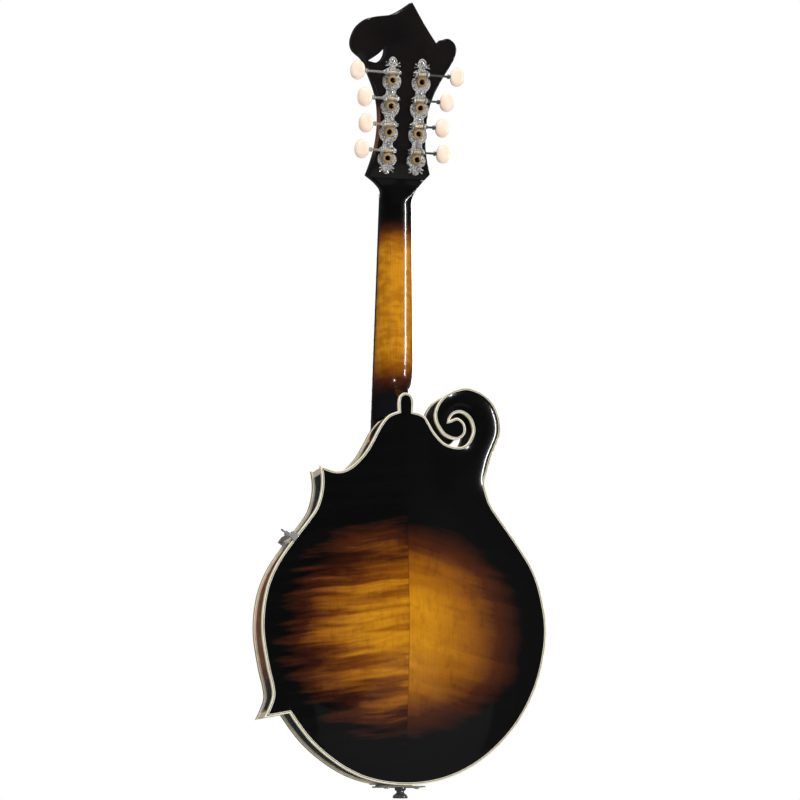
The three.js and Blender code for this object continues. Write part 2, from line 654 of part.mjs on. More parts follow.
const headWoodTop = -VENEER_THICKNESS - GAP;
const headWood = cut(
  prism(headOutline, HEADSTOCK_BACK, headWoodTop, [headCrescent]),
  ...postHoles,
  rodPocket,
).applyMatrix4(headstock.matrix);
const rodChannel = box([-3, 3], [ROD_Y - 3, 0], [10, FINGERBOARD_LENGTH + NUT_LENGTH + 4]);
const neckBlank = join(cut(neckShaft, bodySide, backSide), tenon, headWood);
add("neck", cut(neckBlank, rodChannel), maple, neck);
const rodEnds = [at(0, ROD_Y, ROD_START_Z), at(0, ROD_Y, ROD_START_Z + ROD_LENGTH)];
add("truss_rod", rod(ROD_RADIUS, ...rodEnds, 10), steel, neck);

const veneerOutline = headOutline.map((p) => new THREE.Vector2(p.x, Math.max(p.y, 0.8)));
const veneer = prism(veneerOutline.slice(1, -1), -VENEER_THICKNESS, 0, [headCrescent]);
add("headstock_veneer", cut(veneer, ...postHoles, rodPocket), black, headstock);

const coverOutline = [
  ...smooth([[-8, 4], [-7.6, 10], [-5, 18], [-2.4, 24], [0, 29]], 2),
  ...smooth([[0, 29], [2.4, 24], [5, 18], [7.6, 10], [8, 4]], 2),
  point([8, 4]),
];
add("truss_rod_cover", prism(coverOutline, GAP, GAP + 1.5), black, headstock);

// ---------------------------------------------------------------- tuners

// A strip plate with a lobe at each gear and a drawn-out spike at each end.
function tunerPlateOutline(sign) {
  const steps = 26;
  const [start, end] = [TUNER_PLATE_START_Z + 8, TUNER_PLATE_END_Z - 8];
  const edge = Array.from({ length: steps + 1 }, (_, i) => {
    const z = THREE.MathUtils.lerp(start, end, i / steps);
    const wave = Math.cos((2 * Math.PI * (z - TUNER_FIRST_Z)) / TUNER_PITCH);
    return new THREE.Vector2(PLATE_HALF_WIDTH + PLATE_LOBE * wave, z);
  });
  const tip = new THREE.Vector2(0, TUNER_PLATE_END_Z);
  const tail = new THREE.Vector2(0, TUNER_PLATE_START_Z);
  const half = [tail, new THREE.Vector2(1.6, TUNER_PLATE_START_Z + 5), ...edge];
  const otherHalf = half.slice(1).map((p) => new THREE.Vector2(-p.x, p.y)).reverse();
  const neckZ = TUNER_PLATE_END_Z - 5;
  const crown = [new THREE.Vector2(1.6, neckZ), tip, new THREE.Vector2(-1.6, neckZ)];
  const outline = [...half, ...crown, ...otherHalf];
  return outline.map((p) => new THREE.Vector2(p.x + sign * TUNER_ROW_X, p.y));
}

function tunerPlate(sign) {
  const row = sign * TUNER_ROW_X;
  const sheet = prism(tunerPlateOutline(sign), PLATE_BACK, PLATE_BACK + TUNER_PLATE_THICKNESS);
  const lugs = tunerPlaces.flatMap((z) =>
    [-1, 1].map((end) => {
      const middle = row + end * LUG_REACH;
      const wormZ = z + WORM_OFFSET;
      return box(
        [middle - LUG_THICKNESS / 2, middle + LUG_THICKNESS / 2],
        [GEAR_CENTRE_Y - 2, PLATE_BACK + 0.4],
        [wormZ - 2, wormZ + 2],
      );
    }),
  );
  const bores = tunerPlaces.map((z) =>
    rod(
      SHAFT_RADIUS + 0.3,
      at(row - 9, GEAR_CENTRE_Y, z + WORM_OFFSET),
      at(row + 9, GEAR_CENTRE_Y, z + WORM_OFFSET),
      8,
    ),
  );
  return cut(join(sheet, ...lugs), ...bores, ...postHoles);
}

// A string post with its gear, standing through the headstock.
function stringPost(x, z) {
  const outline = Array.from({ length: 2 * GEAR_TEETH }, (_, i) => {
    const angle = (Math.PI * i) / GEAR_TEETH;
    const radius = i % 2 ? GEAR_ROOT_RADIUS : GEAR_TIP_RADIUS;
    return new THREE.Vector2(x + radius * Math.cos(angle), z + radius * Math.sin(angle));
  });
  const gear = prism(outline, GEAR_CENTRE_Y - GEAR_THICKNESS / 2, GEAR_CENTRE_Y + GEAR_THICKNESS / 2);
  return join(gear, rod(POST_RADIUS, at(x, GEAR_CENTRE_Y, z), at(x, POST_HEIGHT, z), 10));
}

// A worm on its shaft, from the inner lug out to the button.
function wormShaft(sign, z, buttonX) {
  const row = sign * TUNER_ROW_X;
  const inner = row - sign * (LUG_REACH + 2);
  const outer = sign * (buttonX - 2);
  const shaft = rod(SHAFT_RADIUS, at(inner, GEAR_CENTRE_Y, z), at(outer, GEAR_CENTRE_Y, z), 8);
  const worm = rod(
    WORM_RADIUS,
    at(row - WORM_HALF_LENGTH, GEAR_CENTRE_Y, z),
    at(row + WORM_HALF_LENGTH, GEAR_CENTRE_Y, z),
    10,
  );
  return join(shaft, worm);
}

// An oval button with a blind hole for its shaft.
function tunerButton(sign, z, buttonX) {
  const oval = new THREE.SphereGeometry(1, 10, 7);
  oval.scale(BUTTON_HALF.x, BUTTON_HALF.y, BUTTON_HALF.z);
  oval.translate(sign * buttonX, GEAR_CENTRE_Y, z);
  const neckStart = sign * (buttonX - BUTTON_HALF.x - 1.4);
  const collar = rod(2.3, at(neckStart, GEAR_CENTRE_Y, z), at(sign * (buttonX - 3), GEAR_CENTRE_Y, z), 10);
  const hole = rod(
    SHAFT_RADIUS + GAP,
    at(sign * (buttonX - 14), GEAR_CENTRE_Y, z),
    at(sign * (buttonX - 1.6), GEAR_CENTRE_Y, z),
    8,
  );
  return cut(join(oval, collar), hole);
}

sides.forEach(({ name, sign }) => {
  add(`tuner_plate_${name}`, tunerPlate(sign), nickel, headstock);
  tunerPlaces.forEach((z, i) => {
    const label = `${name}_${i + 1}`;
    const wormZ = z + WORM_OFFSET;
    add(`string_post_${label}`, stringPost(sign * TUNER_ROW_X, z), brass, headstock);
    add(`worm_shaft_${label}`, wormShaft(sign, wormZ, TUNER_BUTTON_X[i]), nickel, headstock);
    add(`tuner_button_${label}`, tunerButton(sign, wormZ, TUNER_BUTTON_X[i]), pearl, headstock);
  });
});

// ---------------------------------------------------------------- bridge

// The base follows the top's arch, and carries the two threaded studs.
function bridgeBase() {
  const steps = 14;
  const underside = Array.from({ length: steps + 1 }, (_, i) => {
    const x = THREE.MathUtils.lerp(-BRIDGE_BASE_HALF_LENGTH, BRIDGE_BASE_HALF_LENGTH, i / steps);
    const rows = [-1, 0, 1].map((k) => topHeight(x, BRIDGE_Z + k * BRIDGE_BASE_HALF_THICKNESS));
    return new THREE.Vector2(x, Math.max(...rows) + GAP + 0.1);
  });
  const ends = BRIDGE_BASE_HALF_LENGTH;
  const crown = [
    [ends, underside.at(-1).y + 2.6],
    [BRIDGE_STUD_X + 7, BRIDGE_BASE_TOP_Y],
    [-BRIDGE_STUD_X - 7, BRIDGE_BASE_TOP_Y],
    [-ends, underside[0].y + 2.6],
  ].map(point);
  const profile = new THREE.Shape([...underside, ...crown]);
  const depth = 2 * BRIDGE_BASE_HALF_THICKNESS;
  const foot = new THREE.ExtrudeGeometry(profile, { depth, bevelEnabled: false });
  foot.translate(0, 0, BRIDGE_Z - BRIDGE_BASE_HALF_THICKNESS);
  const studs = [-1, 1].map((sign) =>
    rod(
      BRIDGE_STUD_RADIUS,
      at(sign * BRIDGE_STUD_X, BRIDGE_BASE_TOP_Y - 1, BRIDGE_Z),
      at(sign * BRIDGE_STUD_X, BRIDGE_STUD_TOP_Y, BRIDGE_Z),
      10,
    ),
  );
  return join(foot, ...studs);
}
add("bridge_base", bridgeBase(), ebony);

const saddleBottom = SADDLE_TOP_Y - SADDLE_HEIGHT;
function saddle() {
  const profile = new THREE.Shape(
    [
      [-SADDLE_HALF_LENGTH, saddleBottom + 1],
      [-SADDLE_HALF_LENGTH + 3, saddleBottom],
      [SADDLE_HALF_LENGTH - 3, saddleBottom],
      [SADDLE_HALF_LENGTH, saddleBottom + 1],
      [SADDLE_HALF_LENGTH - 2, SADDLE_TOP_Y - 2],
      [SADDLE_HALF_LENGTH - 12, SADDLE_TOP_Y],
      [-SADDLE_HALF_LENGTH + 12, SADDLE_TOP_Y],
      [-SADDLE_HALF_LENGTH + 2, SADDLE_TOP_Y - 2],
    ].map(point),
  );
  const depth = 2 * SADDLE_HALF_THICKNESS;
  const bar = new THREE.ExtrudeGeometry(profile, { depth, bevelEnabled: false });
  bar.translate(0, 0, BRIDGE_Z - SADDLE_HALF_THICKNESS);
  const sockets = [-1, 1].map((sign) =>
    rod(
      BRIDGE_STUD_RADIUS + GAP,
      at(sign * BRIDGE_STUD_X, saddleBottom - 2, BRIDGE_Z),
      at(sign * BRIDGE_STUD_X, BRIDGE_STUD_TOP_Y + SADDLE_TRAVEL + GAP, BRIDGE_Z),
      10,
    ),
  );
  return cut(bar, ...sockets);
}
add("bridge_saddle", saddle(), ebony);

const wheelTop = saddleBottom - GAP;
sides.forEach(({ name, sign }) => {
  const ring = new THREE.LatheGeometry(
    [
      [BRIDGE_STUD_RADIUS + GAP, 0],
      [THUMBWHEEL_RADIUS, 0],
      [THUMBWHEEL_RADIUS, THUMBWHEEL_THICKNESS],
      [BRIDGE_STUD_RADIUS + GAP, THUMBWHEEL_THICKNESS],
      [BRIDGE_STUD_RADIUS + GAP, 0],
    ].map(point),
    20,
  );
  ring.translate(sign * BRIDGE_STUD_X, wheelTop - THUMBWHEEL_THICKNESS, BRIDGE_Z);
  add(`thumbwheel_${name}`, ring, brass);
});


// ---------------------------------------------------------------- tailpiece and strap button

const tailpiece = new THREE.Group();
tailpiece.position.copy(TAILPIECE_START);
tailpiece.rotation.x = -TAILPIECE_SLOPE;
instrument.add(tailpiece);
instrument.updateMatrixWorld(true);
const tailpiecePoint = (x, y, z) => at(x, y, z).applyMatrix4(tailpiece.matrixWorld);

function tailpieceBase() {
  const width = [-TAILPIECE_HALF_WIDTH + 3, TAILPIECE_HALF_WIDTH - 3];
  const sheet = box(width, [0, TAILPIECE_SHEET], [0, TAILPIECE_LENGTH]);
  const bar = box([-15, 15], [0.2, 4], [STRING_ANCHOR_Z - 10, STRING_ANCHOR_Z - 6]);
  const flange = box(
    [-TAILPIECE_HALF_WIDTH, TAILPIECE_HALF_WIDTH],
    [END_FLANGE_REACH, TAILPIECE_START.y + TAILPIECE_SHEET],
    [BODY_END_Z - GAP - TAILPIECE_SHEET, BODY_END_Z - GAP],
  );
  const fold = box(
    width,
    [TAILPIECE_START.y, TAILPIECE_START.y + TAILPIECE_SHEET],
    [BODY_END_Z - GAP - TAILPIECE_SHEET, TAILPIECE_START.z + 4],
  );
  const placed = [sheet, bar].map((piece) => piece.applyMatrix4(tailpiece.matrix));
  return cut(join(...placed, fold, flange), pinHole);
}
add("tailpiece_base", tailpieceBase(), nickel);

// The cover is a folded channel, closed at the tail end and open towards the bridge.
function tailpieceCover() {
  const [low, high] = [TAILPIECE_SHEET + GAP, COVER_HEIGHT + TAILPIECE_SHEET];
  const start = 3;
  const width = [-TAILPIECE_HALF_WIDTH, TAILPIECE_HALF_WIDTH];
  const outer = box(width, [low, high], [start, TAILPIECE_LENGTH + 2]);
  const inner = box(
    [-TAILPIECE_HALF_WIDTH + TAILPIECE_SHEET, TAILPIECE_HALF_WIDTH - TAILPIECE_SHEET],
    [low - 5, high - TAILPIECE_SHEET],
    [start + TAILPIECE_SHEET, TAILPIECE_LENGTH + 5],
  );
  return cut(outer, inner);
}
add("tailpiece_cover", tailpieceCover(), nickel, tailpiece);

const collarZ = BODY_END_Z - 2 * GAP - TAILPIECE_SHEET;
const buttonProfile = [
  [0, 0], [5.6, 0], [6.9, 1], [6.9, 2.4], [5.2, 3.6], [3.3, 4.6], [3.2, 6], [4.85, 7.2],
  [4.85, collarZ], [PIN_RADIUS, collarZ], [PIN_RADIUS - 0.4, PIN_TOP_Z], [0, PIN_TOP_Z],
].map(point);
const strapButton = new THREE.LatheGeometry(buttonProfile, 20).rotateX(Math.PI / 2);
add("strap_button", strapButton, steel);

// ---------------------------------------------------------------- pickguard

const guardOutline = [
  ...smooth(
    [[-22.5, 276], [-34, 272], [-48, 261], [-62, 243], [-70, 224], [-66, 206], [-52, 198]],
    2,
  ),
  ...smooth([[-52, 198], [-38, 199], [-29, 210], [-25, 235], [-22.5, 276]], 2),
];
add("pickguard", prism(guardOutline, PICKGUARD_Y, PICKGUARD_Y + PICKGUARD_THICKNESS), black);

// The clamp reaches from under the pickguard over the treble edge and hooks under the back.
function pickguardClamp() {
  const [outer, inner] = [-1.4, 0.6]; // faces of the strap
  const width = [-CLAMP_HALF_WIDTH, CLAMP_HALF_WIDTH];
  const arm = box([outer, CLAMP_REACH], [-1.5, 1.5], width);
  const pad = box([CLAMP_REACH - 8, CLAMP_REACH], [0, PICKGUARD_Y - GAP - CLAMP_Y], width);
  const strap = box([outer, inner], [-CLAMP_DROP, 1], width);
  const foot = box([outer, 5.4], [-CLAMP_DROP, -CLAMP_DROP + 1.2], width);
  const screw = rod(1.1, at(-9.5, -CLAMP_SCREW_DROP, 0), at(0, -CLAMP_SCREW_DROP, 0), 8);
  const nut = rod(2.6, at(-5, -CLAMP_SCREW_DROP, 0), at(-1, -CLAMP_SCREW_DROP, 0), 6);
  return join(arm, pad, strap, foot, screw, nut);
}
const clamp = add("pickguard_clamp", pickguardClamp(), nickel);
clamp.position.copy(CLAMP_PLACE);
clamp.rotation.y = CLAMP_TURN;

// ---------------------------------------------------------------- strings

function stringPath(course, member) {
  const { side, radius } = course;
  const outward = member === 0 ? 1 : -1; // the outer string goes to the nearer post
  const place = (x) => side * (x + outward * PAIR_HALF_SPACING);
  const lift = radius + GAP;
  const post = tunerPlaces[course.posts[member] - 1];
  return [
    tailpiecePoint(place(course.saddleX * 0.7), STRING_ANCHOR_Y, STRING_ANCHOR_Z),
    at(place(course.saddleX), SADDLE_TOP_Y + lift, BRIDGE_Z),
    neckPoint(place(course.nutX), NUT_HEIGHT + lift, FINGERBOARD_LENGTH + NUT_LENGTH / 2),
    headPoint(side * (TUNER_ROW_X - POST_RADIUS - lift), WIND_HEIGHTS[member], post),
  ];
}

COURSES.forEach((course) => {
  [0, 1].forEach((member) => {
    add(`string_${course.name}_${member + 1}`, wire(stringPath(course, member), course.radius), bronze);
  });
});

export default instrument;
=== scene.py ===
"""The looks of an F-style mandolin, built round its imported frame.

Metres, in the frame's axes: +Z runs up the neck, +Y is the string side, -Y the carved back and
+X the bass side. Places and outlines come from the frame's own nodes.
"""
import math

import bmesh
import bpy
import numpy as np
from mathutils import Matrix, Vector
from mathutils.bvhtree import BVHTree
from mathutils.geometry import delaunay_2d_cdt
from mathutils.kdtree import KDTree


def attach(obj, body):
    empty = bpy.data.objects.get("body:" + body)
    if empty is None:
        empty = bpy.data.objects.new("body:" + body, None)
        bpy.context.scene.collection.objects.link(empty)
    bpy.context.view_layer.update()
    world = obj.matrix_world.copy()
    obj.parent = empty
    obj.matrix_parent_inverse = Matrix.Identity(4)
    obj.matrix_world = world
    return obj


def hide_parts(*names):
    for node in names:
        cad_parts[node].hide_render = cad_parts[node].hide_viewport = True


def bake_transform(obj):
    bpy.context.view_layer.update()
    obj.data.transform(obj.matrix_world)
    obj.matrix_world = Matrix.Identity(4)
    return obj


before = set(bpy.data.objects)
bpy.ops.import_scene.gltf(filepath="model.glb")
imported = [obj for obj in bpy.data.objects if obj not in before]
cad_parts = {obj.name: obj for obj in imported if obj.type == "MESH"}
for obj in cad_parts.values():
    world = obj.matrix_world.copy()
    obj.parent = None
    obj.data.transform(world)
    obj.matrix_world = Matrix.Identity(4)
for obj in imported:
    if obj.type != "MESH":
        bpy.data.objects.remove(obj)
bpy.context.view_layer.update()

MM = 0.001
X, Y, Z = Vector((1, 0, 0)), Vector((0, 1, 0)), Vector((0, 0, 1))


def turns(count):
    """Angles evenly round one turn."""
    return [2 * math.pi * k / count for k in range(count)]


def polar(radius, angle):
    return radius * math.cos(angle), radius * math.sin(angle)


def skin(rows, count, closed=False):
    """Four-sided faces between rings of equal count, the last joined to the first if closed."""
    faces = []
    for row in range(rows if closed else rows - 1):
        a, b = row * count, (row + 1) % rows * count
        faces += [(a + i, a + (i + 1) % count, b + (i + 1) % count, b + i) for i in range(count)]
    return faces


def capped(rows, count):
    """The same, with both end rings filled."""
    ends = [tuple(range(count)), tuple(range((rows - 1) * count, rows * count))]
    return skin(rows, count) + ends


# ------------------------------------------------------------------ camera, floor and light

CAMERA_DISTANCE = 2.279
CAMERA_LENS = 116.6
VIEW_AZIMUTH = math.radians(-14.34)
VIEW_ELEVATION = math.radians(-9.8)
VIEW_TARGET = Vector((-0.0053, -0.020, 0.3460))
LIGHT_TARGET = Vector((0, 0, 0.35))
FLOOR_Z = -0.55
FLOOR_REACH = 3.0
FLOOR_RINGS = 30
FLOOR_SIDES = 72


def look_at(obj, target):
    obj.rotation_euler = (target - obj.location).to_track_quat("-Z", "Y").to_euler()


def add_camera():
    data = bpy.data.cameras.new("camera")
    data.lens = CAMERA_LENS
    data.clip_start = 0.05
    camera = bpy.data.objects.new("camera", data)
    bpy.context.collection.objects.link(camera)
    level = math.cos(VIEW_ELEVATION)
    aside, away = math.sin(VIEW_AZIMUTH) * level, -math.cos(VIEW_AZIMUTH) * level
    camera.location = VIEW_TARGET + CAMERA_DISTANCE * Vector((aside, away, math.sin(VIEW_ELEVATION)))
    look_at(camera, VIEW_TARGET)
    bpy.context.scene.camera = camera


def add_light(name, place, size, power, mirrored=True):
    """A soft box; one that isn't mirrored lights the stuff but leaves no highlight on the lacquer."""
    data = bpy.data.lights.new(name, "AREA")
    data.shape = "RECTANGLE"
    data.size, data.size_y = size
    data.energy = power
    light = bpy.data.objects.new(name, data)
    bpy.context.collection.objects.link(light)
    light.location = place
    light.visible_glossy = mirrored
    look_at(light, LIGHT_TARGET)


def add_world():
    """White where the camera sees it, and a dim grey room for everything else."""
    world = bpy.data.worlds.new("studio")
    world.use_nodes = True
    tree = world.node_tree
    tree.nodes.clear()
    seen = tree.nodes.new("ShaderNodeBackground")
    seen.inputs["Color"].default_value = (1, 1, 1, 1)
    room = tree.nodes.new("ShaderNodeBackground")
    room.inputs["Color"].default_value = (0.80, 0.86, 1.0, 1)
    room.inputs["Strength"].default_value = 0.034
    ray = tree.nodes.new("ShaderNodeLightPath")
    mix = tree.nodes.new("ShaderNodeMixShader")
    out = tree.nodes.new("ShaderNodeOutputWorld")
    tree.links.new(ray.outputs["Is Camera Ray"], mix.inputs[0])
    tree.links.new(room.outputs[0], mix.inputs[1])
    tree.links.new(seen.outputs[0], mix.inputs[2])
    tree.links.new(mix.outputs[0], out.inputs["Surface"])
    bpy.context.scene.world = world


def add_floor():
    """A wide, pale, gently mottled sheet well below the instrument, rolled down at its rim."""
    finish = Finish("pale_floor")
    cloud = finish.noise(finish.place, 3, 4)
    finish.set(Base_Color=finish.mix(cloud, (0.42, 0.42, 0.41), (0.38, 0.38, 0.37)), Roughness=0.9)
    finish.set(Emission_Color=(1, 1, 0.99, 1), Emission_Strength=0.55, Specular_IOR_Level=0.1)
    finish.bump(finish.noise(finish.place, 240, 2), 0.0004)
    rings = [(0.02 + FLOOR_REACH * i / FLOOR_RINGS, 0.0) for i in range(FLOOR_RINGS + 1)]
    rings.append((FLOOR_REACH + 0.06, -0.03))
    places = []
    for radius, rise in rings:
        places += [(*polar(radius, angle), FLOOR_Z + rise) for angle in turns(FLOOR_SIDES)]
    faces = [(a, d, c, b) for a, b, c, d in skin(len(rings), FLOOR_SIDES)]
    faces.append(tuple(range(FLOOR_SIDES)))
    mesh = bpy.data.meshes.new("floor")
    mesh.from_pydata(places, [], faces)
    mesh.materials.append(finish.material)
    floor = bpy.data.objects.new("floor", mesh)
    bpy.context.collection.objects.link(floor)
    floor.visible_glossy = False


add_camera()
add_world()
add_light("key", (2.10, -1.45, 0.45), (0.10, 2.0), 38)
add_light("side", (-2.2, 1.5, 0.45), (1.4, 2.0), 22, mirrored=False)
add_light("fill", (-0.9, -2.4, 0.3), (1.6, 1.6), 16, mirrored=False)
add_light("top", (-0.6, -1.5, 2.8), (2.6, 1.3), 85, mirrored=False)
add_light("glint", (0.45, -1.75, -0.15), (0.7, 0.4), 0.08)
add_light("spark", (-0.5, -1.6, 2.6), (0.45, 0.45), 16)
add_light("front", (1.4, 2.4, 1.3), (1.6, 1.6), 45)
bpy.context.scene.view_settings.view_transform = "Standard"


# ------------------------------------------------------------------ node shorthand for materials


class Finish:
    """One procedural material, and short ways to add its nodes."""

    def __init__(self, name):
        self.material = bpy.data.materials.new(name)
        self.material.use_nodes = True
        self.tree = self.material.node_tree
        self.shader = self.tree.nodes["Principled BSDF"]
        self.place = self.tree.nodes.new("ShaderNodeTexCoord").outputs["Object"]

    def node(self, kind, **settings):
        made = self.tree.nodes.new("ShaderNode" + kind)
        for key, value in settings.items():
            setattr(made, key, value)
        return made

    def feed(self, socket, value):
        if isinstance(value, bpy.types.NodeSocket):
            self.tree.links.new(value, socket)
        else:
            socket.default_value = value

    def set(self, **values):
        for key, value in values.items():
            self.feed(self.shader.inputs[key.replace("_", " ")], value)
        return self

    def math(self, operation, a, b=0.0):
        made = self.node("Math", operation=operation)
        for socket, value in zip(made.inputs, (a, b)):
            self.feed(socket, value)
        return made.outputs[0]

    def times(self, a, b):
        return self.math("MULTIPLY", a, b)

    def plus(self, a, b):
        return self.math("ADD", a, b)

    def minus(self, a, b):
        return self.math("SUBTRACT", a, b)

    def split(self):
        made = self.node("SeparateXYZ")
        self.feed(made.inputs[0], self.place)
        return made.outputs

    def join(self, x, y, z):
        made = self.node("CombineXYZ")
        for socket, value in zip(made.inputs, (x, y, z)):
            self.feed(socket, value)
        return made.outputs[0]

    def stretch(self, scale):
        made = self.node("Mapping")
        self.feed(made.inputs["Vector"], self.place)
        made.inputs["Scale"].default_value = scale
        return made.outputs[0]

    def noise(self, vector, scale, detail=3.0, rough=0.5):
        made = self.node("TexNoise")
        self.feed(made.inputs["Vector"], vector)
        made.inputs["Scale"].default_value = scale
        made.inputs["Detail"].default_value = detail
        made.inputs["Roughness"].default_value = rough
        return made.outputs["Fac"]

    def span(self, value, low, high, out_low=0.0, out_high=1.0, smooth=True):
        made = self.node("MapRange", clamp=True)
        made.interpolation_type = "SMOOTHSTEP" if smooth else "LINEAR"
        for socket, number in zip(made.inputs, (value, low, high, out_low, out_high)):
            self.feed(socket, number)
        return made.outputs[0]

    def mix(self, share, a, b, blend="MIX"):
        made = self.node("Mix", data_type="RGBA", blend_type=blend)
        self.feed(made.inputs["Factor"], share)
        for socket, value in ((made.inputs[6], a), (made.inputs[7], b)):
            if isinstance(value, bpy.types.NodeSocket):
                self.tree.links.new(value, socket)
            else:
                socket.default_value = (*value, 1)
        return made.outputs[2]

    def shade(self, share, color, tint):
        return self.mix(share, color, tint, "MULTIPLY")

    def between(self, value, low, high, a, b):
        """One colour below the low value, the other above the high one."""
        return self.mix(self.span(value, low, high), a, b)

    def ramp(self, value, *stops):
        made = self.node("ValToRGB")
        self.feed(made.inputs[0], value)
        elements = made.color_ramp.elements
        while len(elements) < len(stops):
            elements.new(0.5)
        for element, (position, color) in zip(elements, stops):
            element.position = position
            element.color = (*color, 1)
        return made.outputs[0]

    def bump(self, height, depth, strength=1.0):
        made = self.node("Bump")
        self.feed(made.inputs["Height"], height)
        made.inputs["Distance"].default_value = depth
        made.inputs["Strength"].default_value = strength
        self.tree.links.new(made.outputs[0], self.shader.inputs["Normal"])
        return self


def lacquer(finish, roughness=0.22, coat=1.0):
    """A polished clear coat over whatever the finish shows."""
    finish.set(Roughness=roughness, Coat_Weight=coat, Coat_Roughness=0.035, Coat_IOR=1.5)
    return finish


AMBER = (0.50, 0.205, 0.005)
HONEY = (0.26, 0.083, 0.002)
RUST = (0.060, 0.013, 0.002)
STRAW = (0.62, 0.30, 0.05)
TAN = (0.42, 0.15, 0.015)
EDGE_BLACK = (0.0014, 0.0011, 0.0010)
BURST_CENTRE = Vector((-0.004, 0.0, 0.144))
BURST_REACH = (0.116, 0.100)


def sunburst(finish, soften):
    """0 in the amber middle of the body, 1 where the colour has turned black."""
    x, _, z = finish.split()
    across = finish.math("DIVIDE", finish.minus(x, BURST_CENTRE.x), BURST_REACH[0])
    along = finish.math("DIVIDE", finish.minus(z, BURST_CENTRE.z), BURST_REACH[1])
    reach = finish.math("SQRT", finish.plus(finish.times(across, across), finish.times(along, along)))
    cloud = finish.noise(finish.stretch((1, 0.2, 1)), 16, 3)
    return finish.plus(reach, finish.times(finish.minus(cloud, 0.5), soften))


def flame(finish):
    """Curly figure, bright in its ridges: sharp bands on the treble half, soft ones on the bass half."""
    x, _, z = finish.split()
    right = finish.math("GREATER_THAN", x, 0.0)
    slope = finish.span(right, 0, 1, 0.13, 0.26, smooth=False)
    lean = finish.times(finish.math("ABSOLUTE", x), slope)
    wander = finish.times(finish.noise(finish.stretch((1.0, 0.3, 0.6)), 16, 2), 0.009)
    along = finish.plus(finish.plus(z, lean), wander)
    seat = finish.join(finish.times(x, 0.11), finish.times(right, 0.7), along)
    broad = finish.span(finish.noise(seat, 96, 1, 0.4), 0.42, 0.60)
    fine = finish.span(finish.noise(seat, 330, 3, 0.6), 0.38, 0.62)
    return finish.plus(finish.times(broad, 0.72), finish.times(fine, 0.28)), right


def burst_back():
    finish = Finish("flamed_maple_burst")
    figure, right = flame(finish)
    strength = finish.span(right, 0, 1, 1.0, 0.24, smooth=False)
    swing = finish.times(finish.minus(0.55, figure), strength)
    reach = finish.plus(sunburst(finish, 0.16), finish.times(swing, 0.16))
    mottle = finish.noise(finish.stretch((1.6, 1, 1.0)), 95, 4, 0.65)
    grain = finish.noise(finish.stretch((9, 1, 0.30)), 110, 4, 0.7)
    stops = (0.0, AMBER), (0.22, AMBER), (0.55, HONEY), (0.76, RUST), (0.95, EDGE_BLACK)
    wood = finish.ramp(reach, *stops)
    dull = finish.times(finish.minus(1.0, figure), strength)
    shade = finish.shade(finish.times(dull, 0.85), wood, (0.38, 0.22, 0.16))
    shade = finish.shade(finish.span(mottle, 0.45, 0.75, 0.0, 0.45), shade, (0.46, 0.36, 0.3))
    shade = finish.shade(finish.span(grain, 0.4, 0.8, 0.0, 0.22), shade, (0.2, 0.12, 0.1))
    seam = finish.span(finish.math("ABSOLUTE", finish.split()[0]), 0.0002, 0.0006, 0.35, 0.0)
    finish.set(Base_Color=finish.shade(seam, shade, (0.1, 0.07, 0.05)))
    return lacquer(finish).bump(finish.noise(finish.stretch((6, 1, 1)), 60, 2), 0.00002).material


def burst_side():
    finish = Finish("dark_maple_sides")
    x, y, z = finish.split()
    glow = finish.span(z, 0.222, 0.190)
    low = finish.span(z, 0.085, 0.125)
    seat = finish.join(finish.times(x, 3), finish.times(y, 0.15), z)
    figure = finish.noise(seat, 110, 3)
    warm = finish.between(figure, 0.35, 0.65, (0.30, 0.105, 0.030), (0.15, 0.045, 0.012))
    finish.set(Base_Color=finish.mix(finish.times(glow, low), EDGE_BLACK, warm))
    return lacquer(finish).material


def burst_top():
    finish = Finish("spruce_burst")
    reach = sunburst(finish, 0.16)
    x, _, z = finish.split()
    rings = finish.noise(finish.join(x, 0.0, finish.times(z, 0.02)), 700, 2, 0.4)
    wood = finish.ramp(reach, (0.0, STRAW), (0.5, TAN), (0.75, RUST), (0.95, EDGE_BLACK))
    finish.set(Base_Color=finish.shade(finish.span(rings, 0.4, 0.7, 0.0, 0.5), wood, (0.3, 0.18, 0.12)))
    return lacquer(finish).material


def burst_neck():
    """Shaded black at both ends, glowing amber in the middle, with curly figure across."""
    finish = Finish("shaded_neck")
    x, y, z = finish.split()
    lower = finish.span(z, 0.352, 0.402)
    upper = finish.span(z, 0.518, 0.484)
    seat = finish.join(finish.times(x, 0.5), finish.times(y, 0.5), z)
    figure = finish.noise(seat, 190, 3, 0.5)
    grain = finish.noise(finish.stretch((12, 12, 0.5)), 70, 3)
    figured = finish.shade(finish.span(figure, 0.35, 0.65, 0.0, 0.7), (1, 1, 1), (0.60, 0.48, 0.4))
    glow = finish.times(lower, upper)
    wood = finish.ramp(glow, (0.0, EDGE_BLACK), (0.28, RUST), (0.62, HONEY), (1.0, AMBER))
    wood = finish.shade(1.0, wood, figured)
    finish.set(Base_Color=finish.shade(finish.span(grain, 0.4, 0.8, 0.0, 0.3), wood, (0.3, 0.2, 0.15)))
    return lacquer(finish).material


def plain(name, color, roughness, metallic=0.0, vary=0.12, scale=60.0, coat=0.0, bump_depth=0.0):
    """A solid stuff with gentle changes of tone and gloss, and a faint surface."""
    finish = Finish(name)
    cloud = finish.noise(finish.place, scale, 4)
    dark = tuple(channel * (1 - vary) for channel in color)
    finish.set(Base_Color=finish.mix(finish.span(cloud, 0.3, 0.7), color, dark), Metallic=metallic)
    finish.set(Roughness=finish.span(cloud, 0.2, 0.8, roughness * 0.8, roughness * 1.25))
    if coat:
        finish.set(Coat_Weight=coat, Coat_Roughness=0.04)
    if bump_depth:
        finish.bump(finish.noise(finish.place, scale * 12, 3), bump_depth)
    return finish.material


